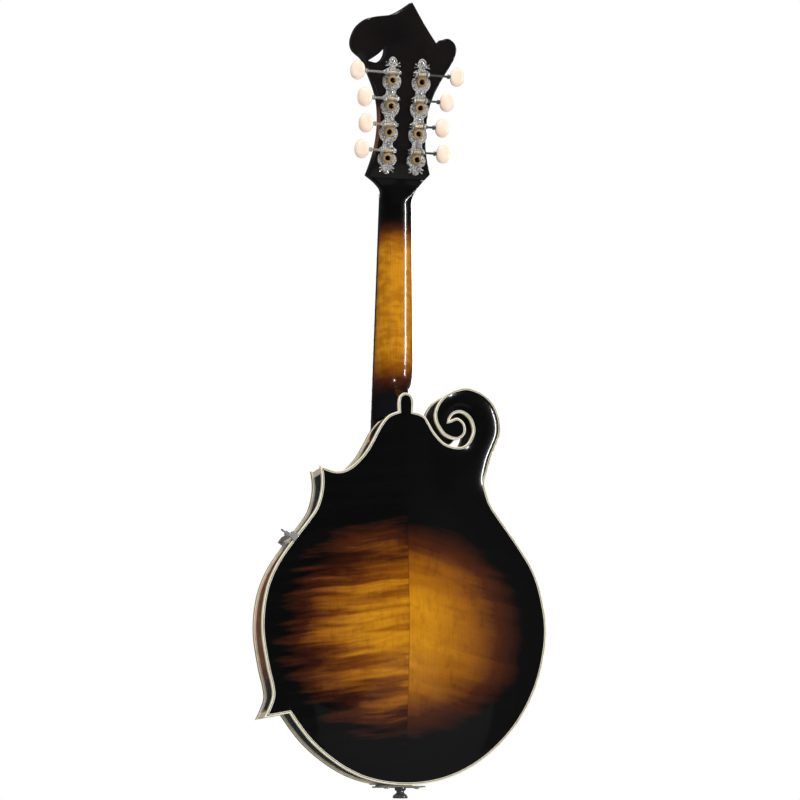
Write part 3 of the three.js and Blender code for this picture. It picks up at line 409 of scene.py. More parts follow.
def ivoroid():
    finish = Finish("ivoroid")
    layers = finish.noise(finish.stretch((1, 14, 1)), 130, 3)
    finish.set(Base_Color=finish.between(layers, 0.35, 0.7, (0.80, 0.74, 0.58), (0.68, 0.60, 0.42)))
    finish.set(Subsurface_Weight=0.12, Subsurface_Scale=0.002)
    return lacquer(finish, 0.3, 0.7).material


def black_lacquer():
    finish = Finish("black_lacquer")
    cloud = finish.noise(finish.place, 25, 3)
    tone = finish.between(cloud, 0.3, 0.75, (0.0035, 0.003, 0.003), (0.008, 0.0055, 0.005))
    finish.set(Base_Color=tone)
    return lacquer(finish, 0.18).material


def headstock_side():
    """The headstock's edge: stained maple that the shading leaves brown half way up."""
    finish = Finish("headstock_edge")
    grain = finish.noise(finish.stretch((2, 2, 0.4)), 140, 4)
    z = finish.split()[2]
    bare = finish.times(finish.span(z, 0.568, 0.580), finish.span(z, 0.618, 0.606))
    brown = finish.between(grain, 0.3, 0.7, (0.34, 0.125, 0.045), (0.17, 0.055, 0.018))
    finish.set(Base_Color=finish.mix(bare, EDGE_BLACK, brown))
    return lacquer(finish).material


def ebony():
    finish = Finish("ebony")
    pores = finish.noise(finish.stretch((14, 14, 1)), 120, 4, 0.7)
    tone = finish.between(pores, 0.45, 0.7, (0.012, 0.009, 0.008), (0.04, 0.026, 0.018))
    finish.set(Base_Color=tone, Roughness=finish.span(pores, 0.4, 0.7, 0.42, 0.6))
    return finish.bump(pores, 0.00005, 0.5).material


def bare_wood():
    finish = Finish("bare_wood")
    grain = finish.noise(finish.stretch((20, 6, 0.6)), 60, 4, 0.6)
    tone = finish.between(grain, 0.35, 0.7, (0.55, 0.36, 0.18), (0.36, 0.21, 0.09))
    finish.set(Base_Color=tone, Roughness=0.65)
    return finish.bump(grain, 0.0001, 0.4).material


def pearloid():
    """Cream plastic with soft, folded pearl figure."""
    finish = Finish("pearloid")
    fold = finish.noise(finish.place, 95, 2)
    swirl = finish.node("TexWave", wave_type="BANDS", bands_direction="DIAGONAL")
    swirl.inputs["Scale"].default_value = 34
    swirl.inputs["Distortion"].default_value = 9
    swirl.inputs["Detail"].default_value = 3
    finish.tree.links.new(finish.place, swirl.inputs["Vector"])
    tone = finish.times(swirl.outputs["Fac"], finish.span(fold, 0.2, 0.8, 0.3, 1.0))
    finish.set(Base_Color=finish.mix(tone, (0.80, 0.62, 0.50), (0.90, 0.74, 0.61)))
    finish.set(Subsurface_Weight=0.2, Subsurface_Scale=0.003, Sheen_Weight=0.1)
    return lacquer(finish, 0.3, 0.5).material


def nickel(name="nickel", tone=(0.74, 0.72, 0.68), engraved=False):
    """Plated metal with fine wear; the tuner plates are engraved with leafy scrolls."""
    finish = Finish(name)
    haze = finish.noise(finish.place, 70, 4, 0.6)
    finish.set(Metallic=0.5 if engraved else 0.75)
    finish.set(Roughness=finish.span(haze, 0.3, 0.8, 0.12, 0.34))
    worn = finish.mix(finish.span(haze, 0.45, 0.75), tone, tuple(c * 0.72 for c in tone))
    if engraved:
        leaf = finish.node("TexVoronoi", feature="DISTANCE_TO_EDGE")
        leaf.inputs["Scale"].default_value = 560
        warp = finish.noise(finish.place, 210, 2)
        bent = finish.node("VectorMath", operation="ADD")
        finish.tree.links.new(finish.place, bent.inputs[0])
        finish.feed(bent.inputs[1], finish.join(0.0, 0.0, finish.times(warp, 0.006)))
        finish.tree.links.new(bent.outputs[0], leaf.inputs["Vector"])
        cut = finish.span(leaf.outputs["Distance"], 0.02, 0.16)
        worn = finish.mix(cut, (0.05, 0.045, 0.04), worn)
        finish.bump(cut, 0.00012)
    finish.set(Base_Color=worn)
    return finish.material


def wound_wire(name, tone, wraps):
    """A string: fine turns of wrap wire, or plain drawn steel when wraps is 0."""
    finish = Finish(name)
    finish.set(Base_Color=tone, Metallic=1.0, Roughness=0.3)
    if wraps:
        wave = finish.math("SINE", finish.times(finish.split()[2], wraps))
        finish.bump(wave, 0.00004)
    return finish.material


add_floor()
MATERIALS = {
    "back": burst_back(),
    "side": burst_side(),
    "top": burst_top(),
    "neck": burst_neck(),
    "black": black_lacquer(),
    "head_edge": headstock_side(),
    "ivory": ivoroid(),
    "white_line": plain("white_line", (0.72, 0.69, 0.58), 0.35, coat=0.6),
    "scroll_wall": plain("shaded_scroll_wall", (0.006, 0.004, 0.003), 0.55),
    "black_line": plain("black_line", (0.006, 0.006, 0.006), 0.35, coat=0.6),
    "ebony": ebony(),
    "bare": bare_wood(),
    "pearl": pearloid(),
    "nickel": nickel(),
    "engraved": nickel("engraved_nickel", (0.86, 0.85, 0.82), engraved=True),
    # A darker copy of the nickel, painted shade: it stands on the bass-side worm shafts and on the strap
    # button.
    "dark_chrome": nickel("dark_chrome", (0.20, 0.195, 0.19)),
    "brass": plain("brass", (0.74, 0.50, 0.20), 0.24, 0.55, 0.35, 160),
    "screw": plain("dark_screw", (0.05, 0.045, 0.04), 0.25, 1.0, 0.3, 160),
    "brass_worm": plain("worn_brass", (0.80, 0.68, 0.46), 0.2, 0.55, 0.25, 200),
    "fret": plain("fret_silver", (0.62, 0.60, 0.55), 0.2, 1.0, 0.1, 90),
    "bone": plain("bone", (0.78, 0.70, 0.53), 0.35, 0, 0.12, 180, coat=0.3),
    "wound": wound_wire("wound_string", (0.60, 0.38, 0.18, 1), 2 * math.pi / 0.0003),
    "plain": wound_wire("plain_string", (0.62, 0.61, 0.60, 1), 0),
    "steel": plain("steel", (0.4, 0.4, 0.41), 0.4, 1.0, 0.25, 120, bump_depth=0.00001),
    "dot": plain("pearl_dot", (0.80, 0.80, 0.76), 0.2, 0, 0.3, 300, coat=0.8),
}


# ------------------------------------------------------------------ mesh building


def add_piece(
    name, verts, faces, look, slot, body="root", replaces=(), looks=(), angle=40, face_look=None
):
    """A finished mesh piece: joined, facing out, smooth but for its sharp edges, and riding its body."""
    mesh = bpy.data.meshes.new(name)
    mesh.from_pydata([tuple(v) for v in verts], [], faces)
    for each in (look, *looks):
        mesh.materials.append(MATERIALS[each])
    if face_look is not None:
        mesh.polygons.foreach_set("material_index", face_look)
    bm = bmesh.new()
    bm.from_mesh(mesh)
    bmesh.ops.remove_doubles(bm, verts=bm.verts, dist=2e-6)
    bmesh.ops.dissolve_degenerate(bm, edges=bm.edges, dist=1e-6)
    bmesh.ops.recalc_face_normals(bm, faces=bm.faces)
    bm.to_mesh(mesh)
    bm.free()
    mesh.polygons.foreach_set("use_smooth", [True] * len(mesh.polygons))
    mesh.set_sharp_from_angle(angle=math.radians(angle))
    obj = bpy.data.objects.new(name, mesh)
    bpy.context.collection.objects.link(obj)
    if body:
        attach(obj, body)
    if replaces:
        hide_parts(*replaces)
    return obj


def plane(right, up):
    """A drawing plane: local x and y lie in it, and local z comes out of it."""
    return Matrix((right, up, right.cross(up))).transposed().to_4x4()


BACK = plane(X, Z)  # seen from behind, with -Y coming out
FRONT = plane(-X, Z)  # seen from the string side, with +Y coming out
NECK = Matrix.Translation((0, 0.033, 0.335)) @ Matrix.Rotation(math.radians(3), 4, "X")
HEAD = NECK @ Matrix.Translation((0, -0.004, 0.208)) @ Matrix.Rotation(math.radians(12), 4, "X")
TAIL = Matrix.Translation((0, 0.022, 0.010)) @ Matrix.Rotation(math.radians(-4.5), 4, "X")
ALONG_X = plane(Y, Z)  # local z runs along +X


def welded(name):
    """A node's corner places and its faces, joined where they touch."""
    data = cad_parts[name].data
    places, known, faces = [], {}, []
    for polygon in data.polygons:
        face = []
        for corner in polygon.vertices:
            place = data.vertices[corner].co
            key = tuple(round(value / (2 * MM / 1000)) for value in place)
            if key not in known:
                known[key] = len(places)
                places.append(place.copy())
            face.append(known[key])
        if len(set(face)) > 2:
            faces.append(face)
    return places, faces


def face_normal(places, face):
    a, b, c = (places[i] for i in face[:3])
    return (b - a).cross(c - a).normalized()


def rims(name, matrix, at_end=True):
    """Closed outlines of a node's face on the drawing plane's side, longest first, in that plane."""
    places, faces = welded(name)
    inverse = matrix.inverted()
    local = [inverse @ place for place in places]
    end = max(place.z for place in local)
    following = {}
    for face in faces:
        flat = all(local[i].z > end - 0.05 * MM for i in face)
        if face_normal(local, face).z > 0.5 and (flat or not at_end):
            for a, b in zip(face, face[1:] + face[:1]):
                following.setdefault(a, set()).add(b)
    steps = {}
    for a, ends in following.items():
        for b in ends:
            if a not in following.get(b, ()):
                steps[a] = b
    loops = []
    while steps:
        first = here = next(iter(steps))
        loop = []
        while here in steps:
            loop.append(Vector(local[here][:2]))
            here = steps.pop(here)
        if here == first and len(loop) > 2:
            loops.append(loop)
    return sorted(loops, key=lambda loop: -abs(area(loop)))


def area(loop):
    return sum(a.cross(b) for a, b in zip(loop, loop[1:] + loop[:1])) / 2


def thinned(loop, least=0.06 * MM):
    kept = []
    for place in loop:
        if not kept or (place - kept[-1]).length > least:
            kept.append(place)
    return kept if (kept[0] - kept[-1]).length > least else kept[:-1]


def rounded(loop, steps=4, corner=42):
    """A finer outline: smooth between its corners, which stay sharp."""
    loop = thinned(loop)
    count = len(loop)
    reach = [(loop[(i + 1) % count] - loop[i]).length for i in range(count)]
    way = [(loop[(i + 1) % count] - loop[i]) / reach[i] for i in range(count)]
    sharp = [way[i - 1].angle(way[i]) > math.radians(corner) for i in range(count)]
    weighed = [way[i - 1] * reach[i] + way[i] * reach[i - 1] for i in range(count)]
    blend = [weighed[i] / (reach[i] + reach[i - 1]) for i in range(count)]
    fine = []
    for i in range(count):
        after = (i + 1) % count
        leave = (way[i] if sharp[i] else blend[i]) * reach[i]
        arrive = (way[i] if sharp[after] else blend[after]) * reach[i]
        parts = 1 if sharp[i] and sharp[after] else steps
        for k in range(parts):
            t = k / parts
            near, far = (1 + 2 * t) * (1 - t) ** 2, t * t * (3 - 2 * t)
            start, stop = t * (1 - t) ** 2, t * t * (t - 1)
            fine.append(near * loop[i] + far * loop[after] + start * leave + stop * arrive)
    return fine


def inset(loop, distance):
    """The same outline moved in by a distance, mitred at its corners."""
    moved = []
    sign = 1 if area(loop) > 0 else -1
    for before, place, after in zip(loop[-1:] + loop[:-1], loop, loop[1:] + loop[:1]):
        a, b = (place - before).normalized(), (after - place).normalized()
        left, right = Vector((-a.y, a.x)), Vector((-b.y, b.x))
        spread = max(1 + left.dot(right), 0.35)
        moved.append(place + sign * distance * (left + right) / spread)
    return moved


def inside(points, loops):
    """For each point, whether an odd number of the outlines surround it."""
    odd = np.zeros(len(points), bool)
    x, y = points[:, 0], points[:, 1]
    for loop in loops:
        for a, b in zip(loop, loop[1:] + loop[:1]):
            if a.y == b.y:
                continue
            crosses = (a.y > y) != (b.y > y)
            odd ^= crosses & (x < (b.x - a.x) * (y - a.y) / (b.y - a.y) + a.x)
    return odd


def filled(loops, lines=(), extra=()):
    """Places and triangles that fill the first outline, less the others; lines only steer the edges."""
    points, edges = [], []
    for loop in (*loops, *lines):
        start = len(points)
        points += loop
        edges += [(start + i, start + (i + 1) % len(loop)) for i in range(len(loop))]
    points += extra
    places, _, faces, origin, _, _ = delaunay_2d_cdt(points, edges, [], 0, 1e-8)
    table = np.array([tuple(place) for place in places])
    faces = [list(face) for face in faces]
    centres = np.array([table[face].mean(0) for face in faces])
    keep = inside(centres, loops)
    source = [each[0] if each else -1 for each in origin]
    return places, [face for face, kept in zip(faces, keep) if kept], source


def solid(loops, low, high, matrix, bevel=0.0, low_bevel=0.0, segments=3):
    """A plate between two heights over its outlines, with rounded edges. Returns places and faces."""
    levels = []
    for share in range(segments + 1 if low_bevel else 1):
        angle = math.pi / 2 * share / segments if low_bevel else 0
        levels.append((low_bevel * (1 - math.sin(angle)), low + low_bevel * (1 - math.cos(angle))))
    for share in range(segments + 1 if bevel else 1):
        angle = math.pi / 2 * share / segments if bevel else 0
        levels.append((bevel * (1 - math.cos(angle)), high - bevel * (1 - math.sin(angle))))
    places, faces = [], []
    rings = []
    for index, loop in enumerate(loops):
        sizes = []
        for distance, height in levels:
            ring = inset(loop, distance) if distance and index == 0 else loop
            sizes.append(len(places))
            places += [matrix @ Vector((p.x, p.y, height)) for p in ring]
            if (distance, height) == levels[0]:
                first = ring
            last = ring
        count = len(loop)
        for a, b in zip(sizes, sizes[1:]):
            faces += [(a + i, a + (i + 1) % count, b + (i + 1) % count, b + i) for i in range(count)]
        rings.append((first, last, sizes[0], sizes[-1]))
    for end, height in ((0, low), (1, high)):
        spots, triangles, source = filled([ring[end] for ring in rings])
        offsets = [ring[2 + end] + i for ring in rings for i in range(len(ring[end]))]
        corners = []
        for spot, index in zip(spots, source):
            if index < 0:
                offsets.append(len(places))
                places.append(matrix @ Vector((spot.x, spot.y, height)))
                index = len(offsets) - 1
            corners.append(offsets[index])
        faces += [tuple(corners[i] for i in triangle) for triangle in triangles]
    return places, faces


def merge(*parts):
    places, faces = [], []
    for more_places, more_faces in parts:
        start = len(places)
        places += more_places
        faces += [tuple(start + i for i in face) for face in more_faces]
    return places, faces


def revolved(profile, matrix, sides=32):
    """A turned shape from (radius, height) steps about local z."""
    places, faces, rings = [], [], []
    for radius, height in profile:
        count = 1 if radius < 1e-7 else sides
        rings.append((len(places), count))
        places += [matrix @ Vector((*polar(radius, angle), height)) for angle in turns(sides)[:count]]
    for (a, na), (b, nb) in zip(rings, rings[1:]):
        for i in range(sides):
            j = (i + 1) % sides
            face = dict.fromkeys((a + i % na, a + j % na, b + j % nb, b + i % nb))
            if len(face) > 2:
                faces.append(tuple(face))
    return places, faces


def arc(radius, centre, start, stop, steps=6):
    """Profile steps round a circle, in degrees."""
    angles = [math.radians(start + (stop - start) * i / steps) for i in range(steps + 1)]
    return [(centre[0] + radius * math.cos(a), centre[1] + radius * math.sin(a)) for a in angles]


def tube(path, radius, sides=10, closed=False):
    """A round wire along a path, with flat ends."""
    places = []
    count = len(path)
    side = None
    for i, place in enumerate(path):
        before = path[i - 1] if i or closed else place
        after = path[(i + 1) % count] if i + 1 < count or closed else place
        way = (after - before).normalized()
        if side is None:
            side = way.orthogonal()
        side = (side - way * side.dot(way)).normalized()
        other = way.cross(side)
        thick = radius[i] if isinstance(radius, list) else radius
        for angle in turns(sides):
            places.append(place + thick * (math.cos(angle) * side + math.sin(angle) * other))
    return places, skin(count, sides, True) if closed else capped(count, sides)


def soften(name, look, slot, width, body="root", segments=2):
    """A node's own shape with its sharp edges rounded, as a piece that stands for it."""
    places, faces = welded(name)
    mesh = bpy.data.meshes.new(name)
    mesh.from_pydata([tuple(p) for p in places], [], faces)
    bm = bmesh.new()
    bm.from_mesh(mesh)
    bmesh.ops.dissolve_limit(bm, angle_limit=math.radians(2), verts=bm.verts, edges=bm.edges)
    sharp = [e for e in bm.edges if len(e.link_faces) == 2 and e.calc_face_angle(0) > math.radians(30)]
    rounding = {"offset": width, "segments": segments, "profile": 0.5, "affect": "EDGES"}
    bmesh.ops.bevel(bm, geom=sharp, clamp_overlap=True, **rounding)
    bmesh.ops.triangulate(bm, faces=[f for f in bm.faces if len(f.verts) > 4])
    bm.to_mesh(mesh)
    bm.free()
    verts = [v.co.copy() for v in mesh.vertices]
    faces = [tuple(p.vertices) for p in mesh.polygons]
    bpy.data.meshes.remove(mesh)
    add_piece(name + "_shape", verts, faces, look, slot, body, (name,), angle=50)


# ------------------------------------------------------------------ body

BINDING = 1.1 * MM
EDGE = 21 * MM
PLATE_EDGE = 4.2 * MM
PURFLING = 0.5 * MM
RIB_HALF = 16.9 * MM


def nearest_to(spots):
    """A search tree over places of a drawing plane."""
    tree = KDTree(len(spots))
    for i, spot in enumerate(spots):
        tree.insert((spot.x, spot.y, 0), i)
    tree.balance()
    return tree


def grid_points(loops, margin, pitch):
    """Evenly staggered places inside the first outline, kept clear of every outline."""
    outer = loops[0]
    low = Vector((min(p.x for p in outer), min(p.y for p in outer)))
    high = Vector((max(p.x for p in outer), max(p.y for p in outer)))
    row = pitch * math.sqrt(3) / 2
    rows = int((high.y - low.y) / row)
    columns = int((high.x - low.x) / pitch)
    spots = []
    for j in range(rows):
        spots += [(low.x + (i + 0.5 * (j % 2)) * pitch, low.y + j * row) for i in range(columns)]
    spots = np.array(spots)
    spots = spots[inside(spots, loops)]
    tree = nearest_to([place for loop in loops for place in loop])
    return [Vector(spot) for spot in spots if tree.find((*spot, 0))[2] > margin]


SCROLL_FROM, SCROLL_TO = (0.020, 0.250), (0.046, 0.290)
SCROLL_ROLL = 3.0 * MM
SCROLL_SOFT = 4.5 * MM
SCROLL_EYE = Vector((0.0436, 0.324))
SCROLL_EYE_REACH = (9 * MM, 16 * MM)


def smooth_step(value, low, high):
    share = min(max((value - low) / (high - low), 0), 1)
    return share * share * (3 - 2 * share)


def carved(name, binding, matrix, look, slot, pitch=2.6 * MM):
    """An arched plate with flush purfling: its heights follow the node's, smoothed over."""
    outline = rounded(rims(binding, matrix)[0])
    holes = [rounded(loop, 3) for loop in rims(name, matrix, at_end=False)[1:] if abs(area(loop)) > 2e-5]
    edge = inset(outline, BINDING)
    lines = [inset(outline, BINDING + PURFLING * k) for k in (1, 2, 3)]
    spots = grid_points([lines[-1], *holes], 1.2 * MM, pitch)
    places, triangles, source = filled([edge, *holes], lines, spots)
    band_of = []
    for k, loop in enumerate((edge, *holes, *lines)):
        ring = 0 if k == 0 else (9 if k <= len(holes) else k - len(holes))
        band_of += [ring] * len(loop)
    ring = [band_of[i] if 0 <= i < len(band_of) else 9 for i in source]
    corners, faces = welded(name)
    inverse = matrix.inverted()
    local = [inverse @ corner for corner in corners]
    surface = BVHTree.FromPolygons(local, [face for face in faces if face_normal(local, face).z > 0.5])
    height = np.empty(len(places))
    for i, place in enumerate(places):
        hit = surface.ray_cast(Vector((place.x, place.y, 0.1)), Vector((0, 0, -1)))[0]
        if hit:
            height[i] = hit.z
        else:
            height[i] = surface.find_nearest(Vector((place.x, place.y, EDGE)))[0].z
    loose = np.array([value == 9 for value in ring])
    a, b = np.array([(f[i], f[(i + 1) % 3]) for f in triangles for i in range(3)]).T
    ties = np.bincount(a, minlength=len(places)) + np.bincount(b, minlength=len(places))
    for _ in range(30):
        total = np.bincount(a, height[b], len(places)) + np.bincount(b, height[a], len(places))
        height = np.where(loose, total / np.maximum(ties, 1), height)
    shore = nearest_to(edge)
    for i, place in enumerate(places):
        bass = abs(place.x) if (matrix @ Vector((place.x, 0, 0))).x > 0 else 0
        share = smooth_step(bass, SCROLL_FROM[0], SCROLL_TO[0])
        share *= smooth_step(place.y, SCROLL_FROM[1], SCROLL_TO[1])
        share *= smooth_step((Vector((bass, place.y)) - SCROLL_EYE).length, *SCROLL_EYE_REACH)
        reach = shore.find((place.x, place.y, 0))[2]
        height[i] += share * SCROLL_ROLL * (1 - math.exp(-max(reach - 1 * MM, 0) / SCROLL_SOFT))
    outer = [matrix @ Vector((p.x, p.y, h)) for p, h in zip(places, height)]
    inner = [matrix @ Vector((p.x, p.y, h - PLATE_EDGE)) for p, h in zip(places, height)]
    count = len(outer)
    faces, looks = [], []
    for face in triangles:
        low = min(ring[i] for i in face)
        faces += [tuple(face), tuple(count + i for i in reversed(face))]
        looks += [(1, 2, 1)[low] if low < 3 else 0, 3]
    steps = {(f[i], f[(i + 1) % 3]) for f in triangles for i in range(3)}
    for start, stop in steps:
        if (stop, start) not in steps:
            faces.append((start, stop, count + stop, count + start))
            looks.append(1)
    return add_piece(
        name + "_carved", outer + inner, faces, look, slot, replaces=(name,),
        looks=("black_line", "white_line", "bare"), face_look=looks, angle=30,
    )


def bind(name, matrix, stained):
    """A strip of ivory binding, its outer corner scraped round, and the front one's side stained."""
    outline = rounded(rims(name, matrix)[0])
    loops = [outline, inset(outline, BINDING)]
    places, faces = solid(loops, RIB_HALF - 0.1 * MM, EDGE, matrix, bevel=0.6 * MM, segments=4)
    inverse = matrix.inverted()
    spots = [inverse @ place for place in places]
    sides = [int(stained and face_normal(spots, face).z < 0.8) for face in faces]
    add_piece(
        name + "_strip", places, faces, "ivory", "ivoroid", replaces=(name,),
        looks=("side",), face_look=sides,
    )


def wall(name, look, slot):
    """A rib or block between the two plates, on its node's outline, smoothed."""
    loops = [rounded(loop) for loop in rims(name, FRONT)[:1]]
    places, faces = solid(loops, -RIB_HALF, RIB_HALF, FRONT)
    add_piece(name + "_wall", places, faces, look, slot, replaces=(name,))


carved("back_plate", "back_binding", BACK, "back", "back_wood")
carved("top_plate", "top_binding", FRONT, "top", "top_wood")
bind("back_binding", BACK, False)
bind("top_binding", FRONT, True)
for node in ("rib_upper_treble", "rib_treble_waist", "rib_lower_bout"):
    wall(node, "side", "rib_wood")
wall("neck_block", "scroll_wall", "inner_wood")


BODY_POINTS = {"upper": Vector((-0.077, 0.2852)), "lower": Vector((-0.1245, 0.0668))}
FRONT_POINTS = [Vector((-spot.x, spot.y)) for spot in BODY_POINTS.values()]


def point_caps():
    """Ivory over the full depth of the ribs at both body points."""
    outline = inset(rounded(rims("back_binding", BACK)[0]), 0.75 * MM)
    count = len(outline)
    for name, spot in BODY_POINTS.items():
        middle = min(range(count), key=lambda i: (outline[i] - spot).length)
        run = [outline[(middle + k) % count] for k in range(-count // 4, count // 4)]
        wedge = [p for p in run if (p - outline[middle]).length < 6.5 * MM]
        places, faces = solid([wedge], -RIB_HALF, RIB_HALF, BACK)
        add_piece(f"point_cap_{name}", places, faces, "ivory", "ivoroid")


point_caps()


LINING_DEPTH = 7 * MM
LINING_WIDTH = 5 * MM
KERF_PITCH = 6 * MM
KERF = 1.2 * MM
BLOCK_Z = 0.282
TAIL_BLOCK = (0.044, 0.042)
POINT_CLEAR = 14 * MM


def linings():
    """Kerfed linings: bevelled blocks round the ribs' inner faces, under both plates."""
    line = inset(rounded(rims("top_binding", FRONT)[0]), 3.6 * MM)
    blocks = {1: [], -1: []}
    gone = 0.0
    for start, stop in zip(line, line[1:] + line[:1]):
        gone += (stop - start).length
        if gone < KERF_PITCH:
            continue
        gone = 0.0
        way = (stop - start).normalized()
        in_block = start.y > BLOCK_Z or (abs(start.x) < TAIL_BLOCK[0] and start.y < TAIL_BLOCK[1])
        at_point = any((start - spot).length < POINT_CLEAR for spot in FRONT_POINTS)
        if in_block or at_point:
            continue
        half = way * (KERF_PITCH - KERF) / 2
        inward = Vector((-way.y, way.x)) * (LINING_WIDTH if area(line) > 0 else -LINING_WIDTH)
        for side in (1, -1):
            top, low = side * (RIB_HALF - 0.3 * MM), side * (RIB_HALF - LINING_DEPTH)
            foot = [(start - half, top), (start - half + inward, top), (start - half, low)]
            head = [(start + half, top), (start + half + inward, top), (start + half, low)]
            places = [FRONT @ Vector((p.x, p.y, height)) for p, height in foot + head]
            faces = [(0, 2, 1), (3, 4, 5), (0, 1, 4, 3), (1, 2, 5, 4), (2, 0, 3, 5)]
            blocks[side].append((places, faces))
    for side, name in ((1, "lining_top"), (-1, "lining_back")):
        add_piece(name, *merge(*blocks[side]), "bare", "inner_wood", angle=20)


linings()


# ------------------------------------------------------------------ neck and headstock

NUT_Z = 204 * MM
BOARD = 6 * MM
VENEER = 2 * MM


def board_half(z):
    return float(np.interp(z, (-62 * MM, NUT_Z), (20.43 * MM, 14.3 * MM)))


def eased(z, stations, values):
    """Values between stations, joined without kinks."""
    z = min(max(z, stations[0]), stations[-1])
    i = min(max(int(np.searchsorted(stations, z)), 1), len(stations) - 1)
    slopes = np.gradient(np.array(values), np.array(stations))
    span = stations[i] - stations[i - 1]
    t = (z - stations[i - 1]) / span
    near, far = (1 + 2 * t) * (1 - t) ** 2, t * t * (3 - 2 * t)
    start, stop = t * (1 - t) ** 2 * span, t * t * (t - 1) * span
    return float(near * values[i - 1] + far * values[i] + start * slopes[i - 1] + stop * slopes[i])


HEEL_STATIONS = [v * MM for v in (0, 13, 18, 23, 31, 46, 90, 180, 198, 209)]
HEEL_DEPTHS = [v * MM for v in (46, 45, 40, 32, 24, 19.5, 16.5, 14.5, 15.5, 16.5)]
HEEL_SHARES = [1, 1, 0.9, 0.7, 0.4, 0.1, 0, 0, 0, 0]
HEEL_LOW_Y = -16.7 * MM
HEEL_TIP = 6.8 * MM

FLARE_STATIONS = [v * MM for v in (-22, -8, 0, 4, 9, 13)]
FLARE_WIDTHS = {
    1: [v * MM for v in (14.85, 14.45, 14.9, 16.2, 19.4, 22.6)],
    -1: [v * MM for v in (14.85, 14.6, 15.2, 16.9, 21.9, 27.4)],
}
HEAD_START = 208 * MM
HEAD_TURN = (-15 * MM, 8 * MM)
HEAD_JOIN = 13 * MM
HEAD_DEPTH = 12.3 * MM


def neck_ring(z, sides=22):
    """One section of the neck: flat on top, heel-shaped or round behind, and square by the headstock."""
    rise = z - HEAD_START
    turned = smooth_step(rise, *HEAD_TURN)
    depth = eased(z, HEEL_STATIONS, HEEL_DEPTHS)
    heel_share = min(max(eased(z, HEEL_STATIONS, HEEL_SHARES), 0), 1)
    power, root = 2.3 + 22 * turned ** 3, 2 + 12 * turned ** 3
    ring = []
    for sign in (1, -1):
        flared = eased(rise, FLARE_STATIONS, FLARE_WIDTHS[sign])
        width = board_half(z) if rise < FLARE_STATIONS[0] else flared
        for i in range(sides + 1) if sign > 0 else range(sides, -1, -1):
            share = math.sin(math.pi / 2 * i / sides)
            round_x = width * max(1 - share ** power, 0) ** (1 / root)
            heel_x = width + (HEEL_TIP - width) * share ** 0.8
            x = sign * (round_x + (heel_x - round_x) * heel_share)
            straight = NECK @ Vector((x, -BOARD - depth * share, z))
            tilted = HEAD @ Vector((x, -VENEER - HEAD_DEPTH * share, rise))
            place = straight.lerp(tilted, turned)
            place.y = max(place.y, HEEL_LOW_Y) if z < 100 * MM else place.y
            ring.append(place)
    return ring


def neck_shaft():
    """The neck from the heel, past the nut, to where it has flared into the headstock."""
    rows = 131
    places = []
    start, stop = 1.5 * MM, HEAD_START + HEAD_JOIN
    for row in range(rows):
        ring = neck_ring(start + (stop - start) * row / (rows - 1))
        places += ring
    faces = capped(rows, len(ring))
    add_piece("neck_shaft", places, faces, "neck", "neck_wood", replaces=("neck",), angle=35)


neck_shaft()
HEAD_FACE = HEAD @ FRONT
HEAD_REAR = HEAD @ BACK
HEAD_WOOD = 14.3 * MM


def mirror(loop):
    """An outline as the other side's drawing plane sees it."""
    return [Vector((-p.x, p.y)) for p in reversed(loop)]


def headstock():
    loops = [rounded(loop, 4, 35) for loop in rims("headstock_veneer", HEAD_FACE)]
    big = [loop for loop in loops if abs(area(loop)) > 5e-5]
    posts = [loop for loop in loops if abs(area(loop)) <= 5e-5]
    places, faces = solid([*big, *posts], -VENEER, 0, HEAD_FACE, bevel=0.5 * MM)
    add_piece("headstock_face", places, faces, "black", "black_face", replaces=("headstock_veneer",))
    rear = []
    for loop in loops:
        foot = min(p.y for p in loop)
        if foot < 2 * MM or foot > 25 * MM:
            rear.append(mirror(loop))
    rear[0] = [p for p in rear[0] if p.y > HEAD_JOIN - 0.5 * MM]
    places, faces = solid(rear, VENEER - 0.02 * MM, HEAD_WOOD, HEAD_REAR, bevel=1.0 * MM, segments=4)
    inverse = HEAD_REAR.inverted()
    spots = [inverse @ p for p in places]
    edge = [int(abs(face_normal(spots, face).z) < 0.3) for face in faces]
    add_piece("headstock_wood", places, faces, "black", "neck_wood", looks=("head_edge",), face_look=edge)


headstock()


# ------------------------------------------------------------------ tuners

ROW_X = 13.6 * MM
PITCH = 23.2 * MM
POSTS_Z = [31.6 * MM + PITCH * i for i in range(4)]
BUTTON_X = [v * MM for v in (37.8, 35.4, 38, 46)]
GEAR_Y = -17.9 * MM
PLATE_Y = -15.8 * MM
WORM_RISE = 6.6 * MM
GEAR_TEETH = 16
SIDES = (("bass", 1), ("treble", -1))
STATION = ((-0.5, 4.6), (-0.40, 4.6), (-0.25, 7.5), (0.13, 7.5), (0.18, 5.6), (0.38, 5.6), (0.5, 4.6))
CROWN = ((0, 5.6), (0.8, 6.6), (1.6, 4.4), (3.2, 2.6), (5, 3.5), (8, 3.9), (11, 2.6), (12.2, 0))
LUG = ((-0.8, -2.0), (0.8, -2.0), (0.9, 1.2), (0.3, 2.4), (-0.3, 2.4), (-0.9, 1.2))
FOOT = ((0, 7.3), (1.2, 4.6), (2.4, 6.2), (3.2, 3.0), (5, 3.4), (7.6, 2.4), (9, 0))


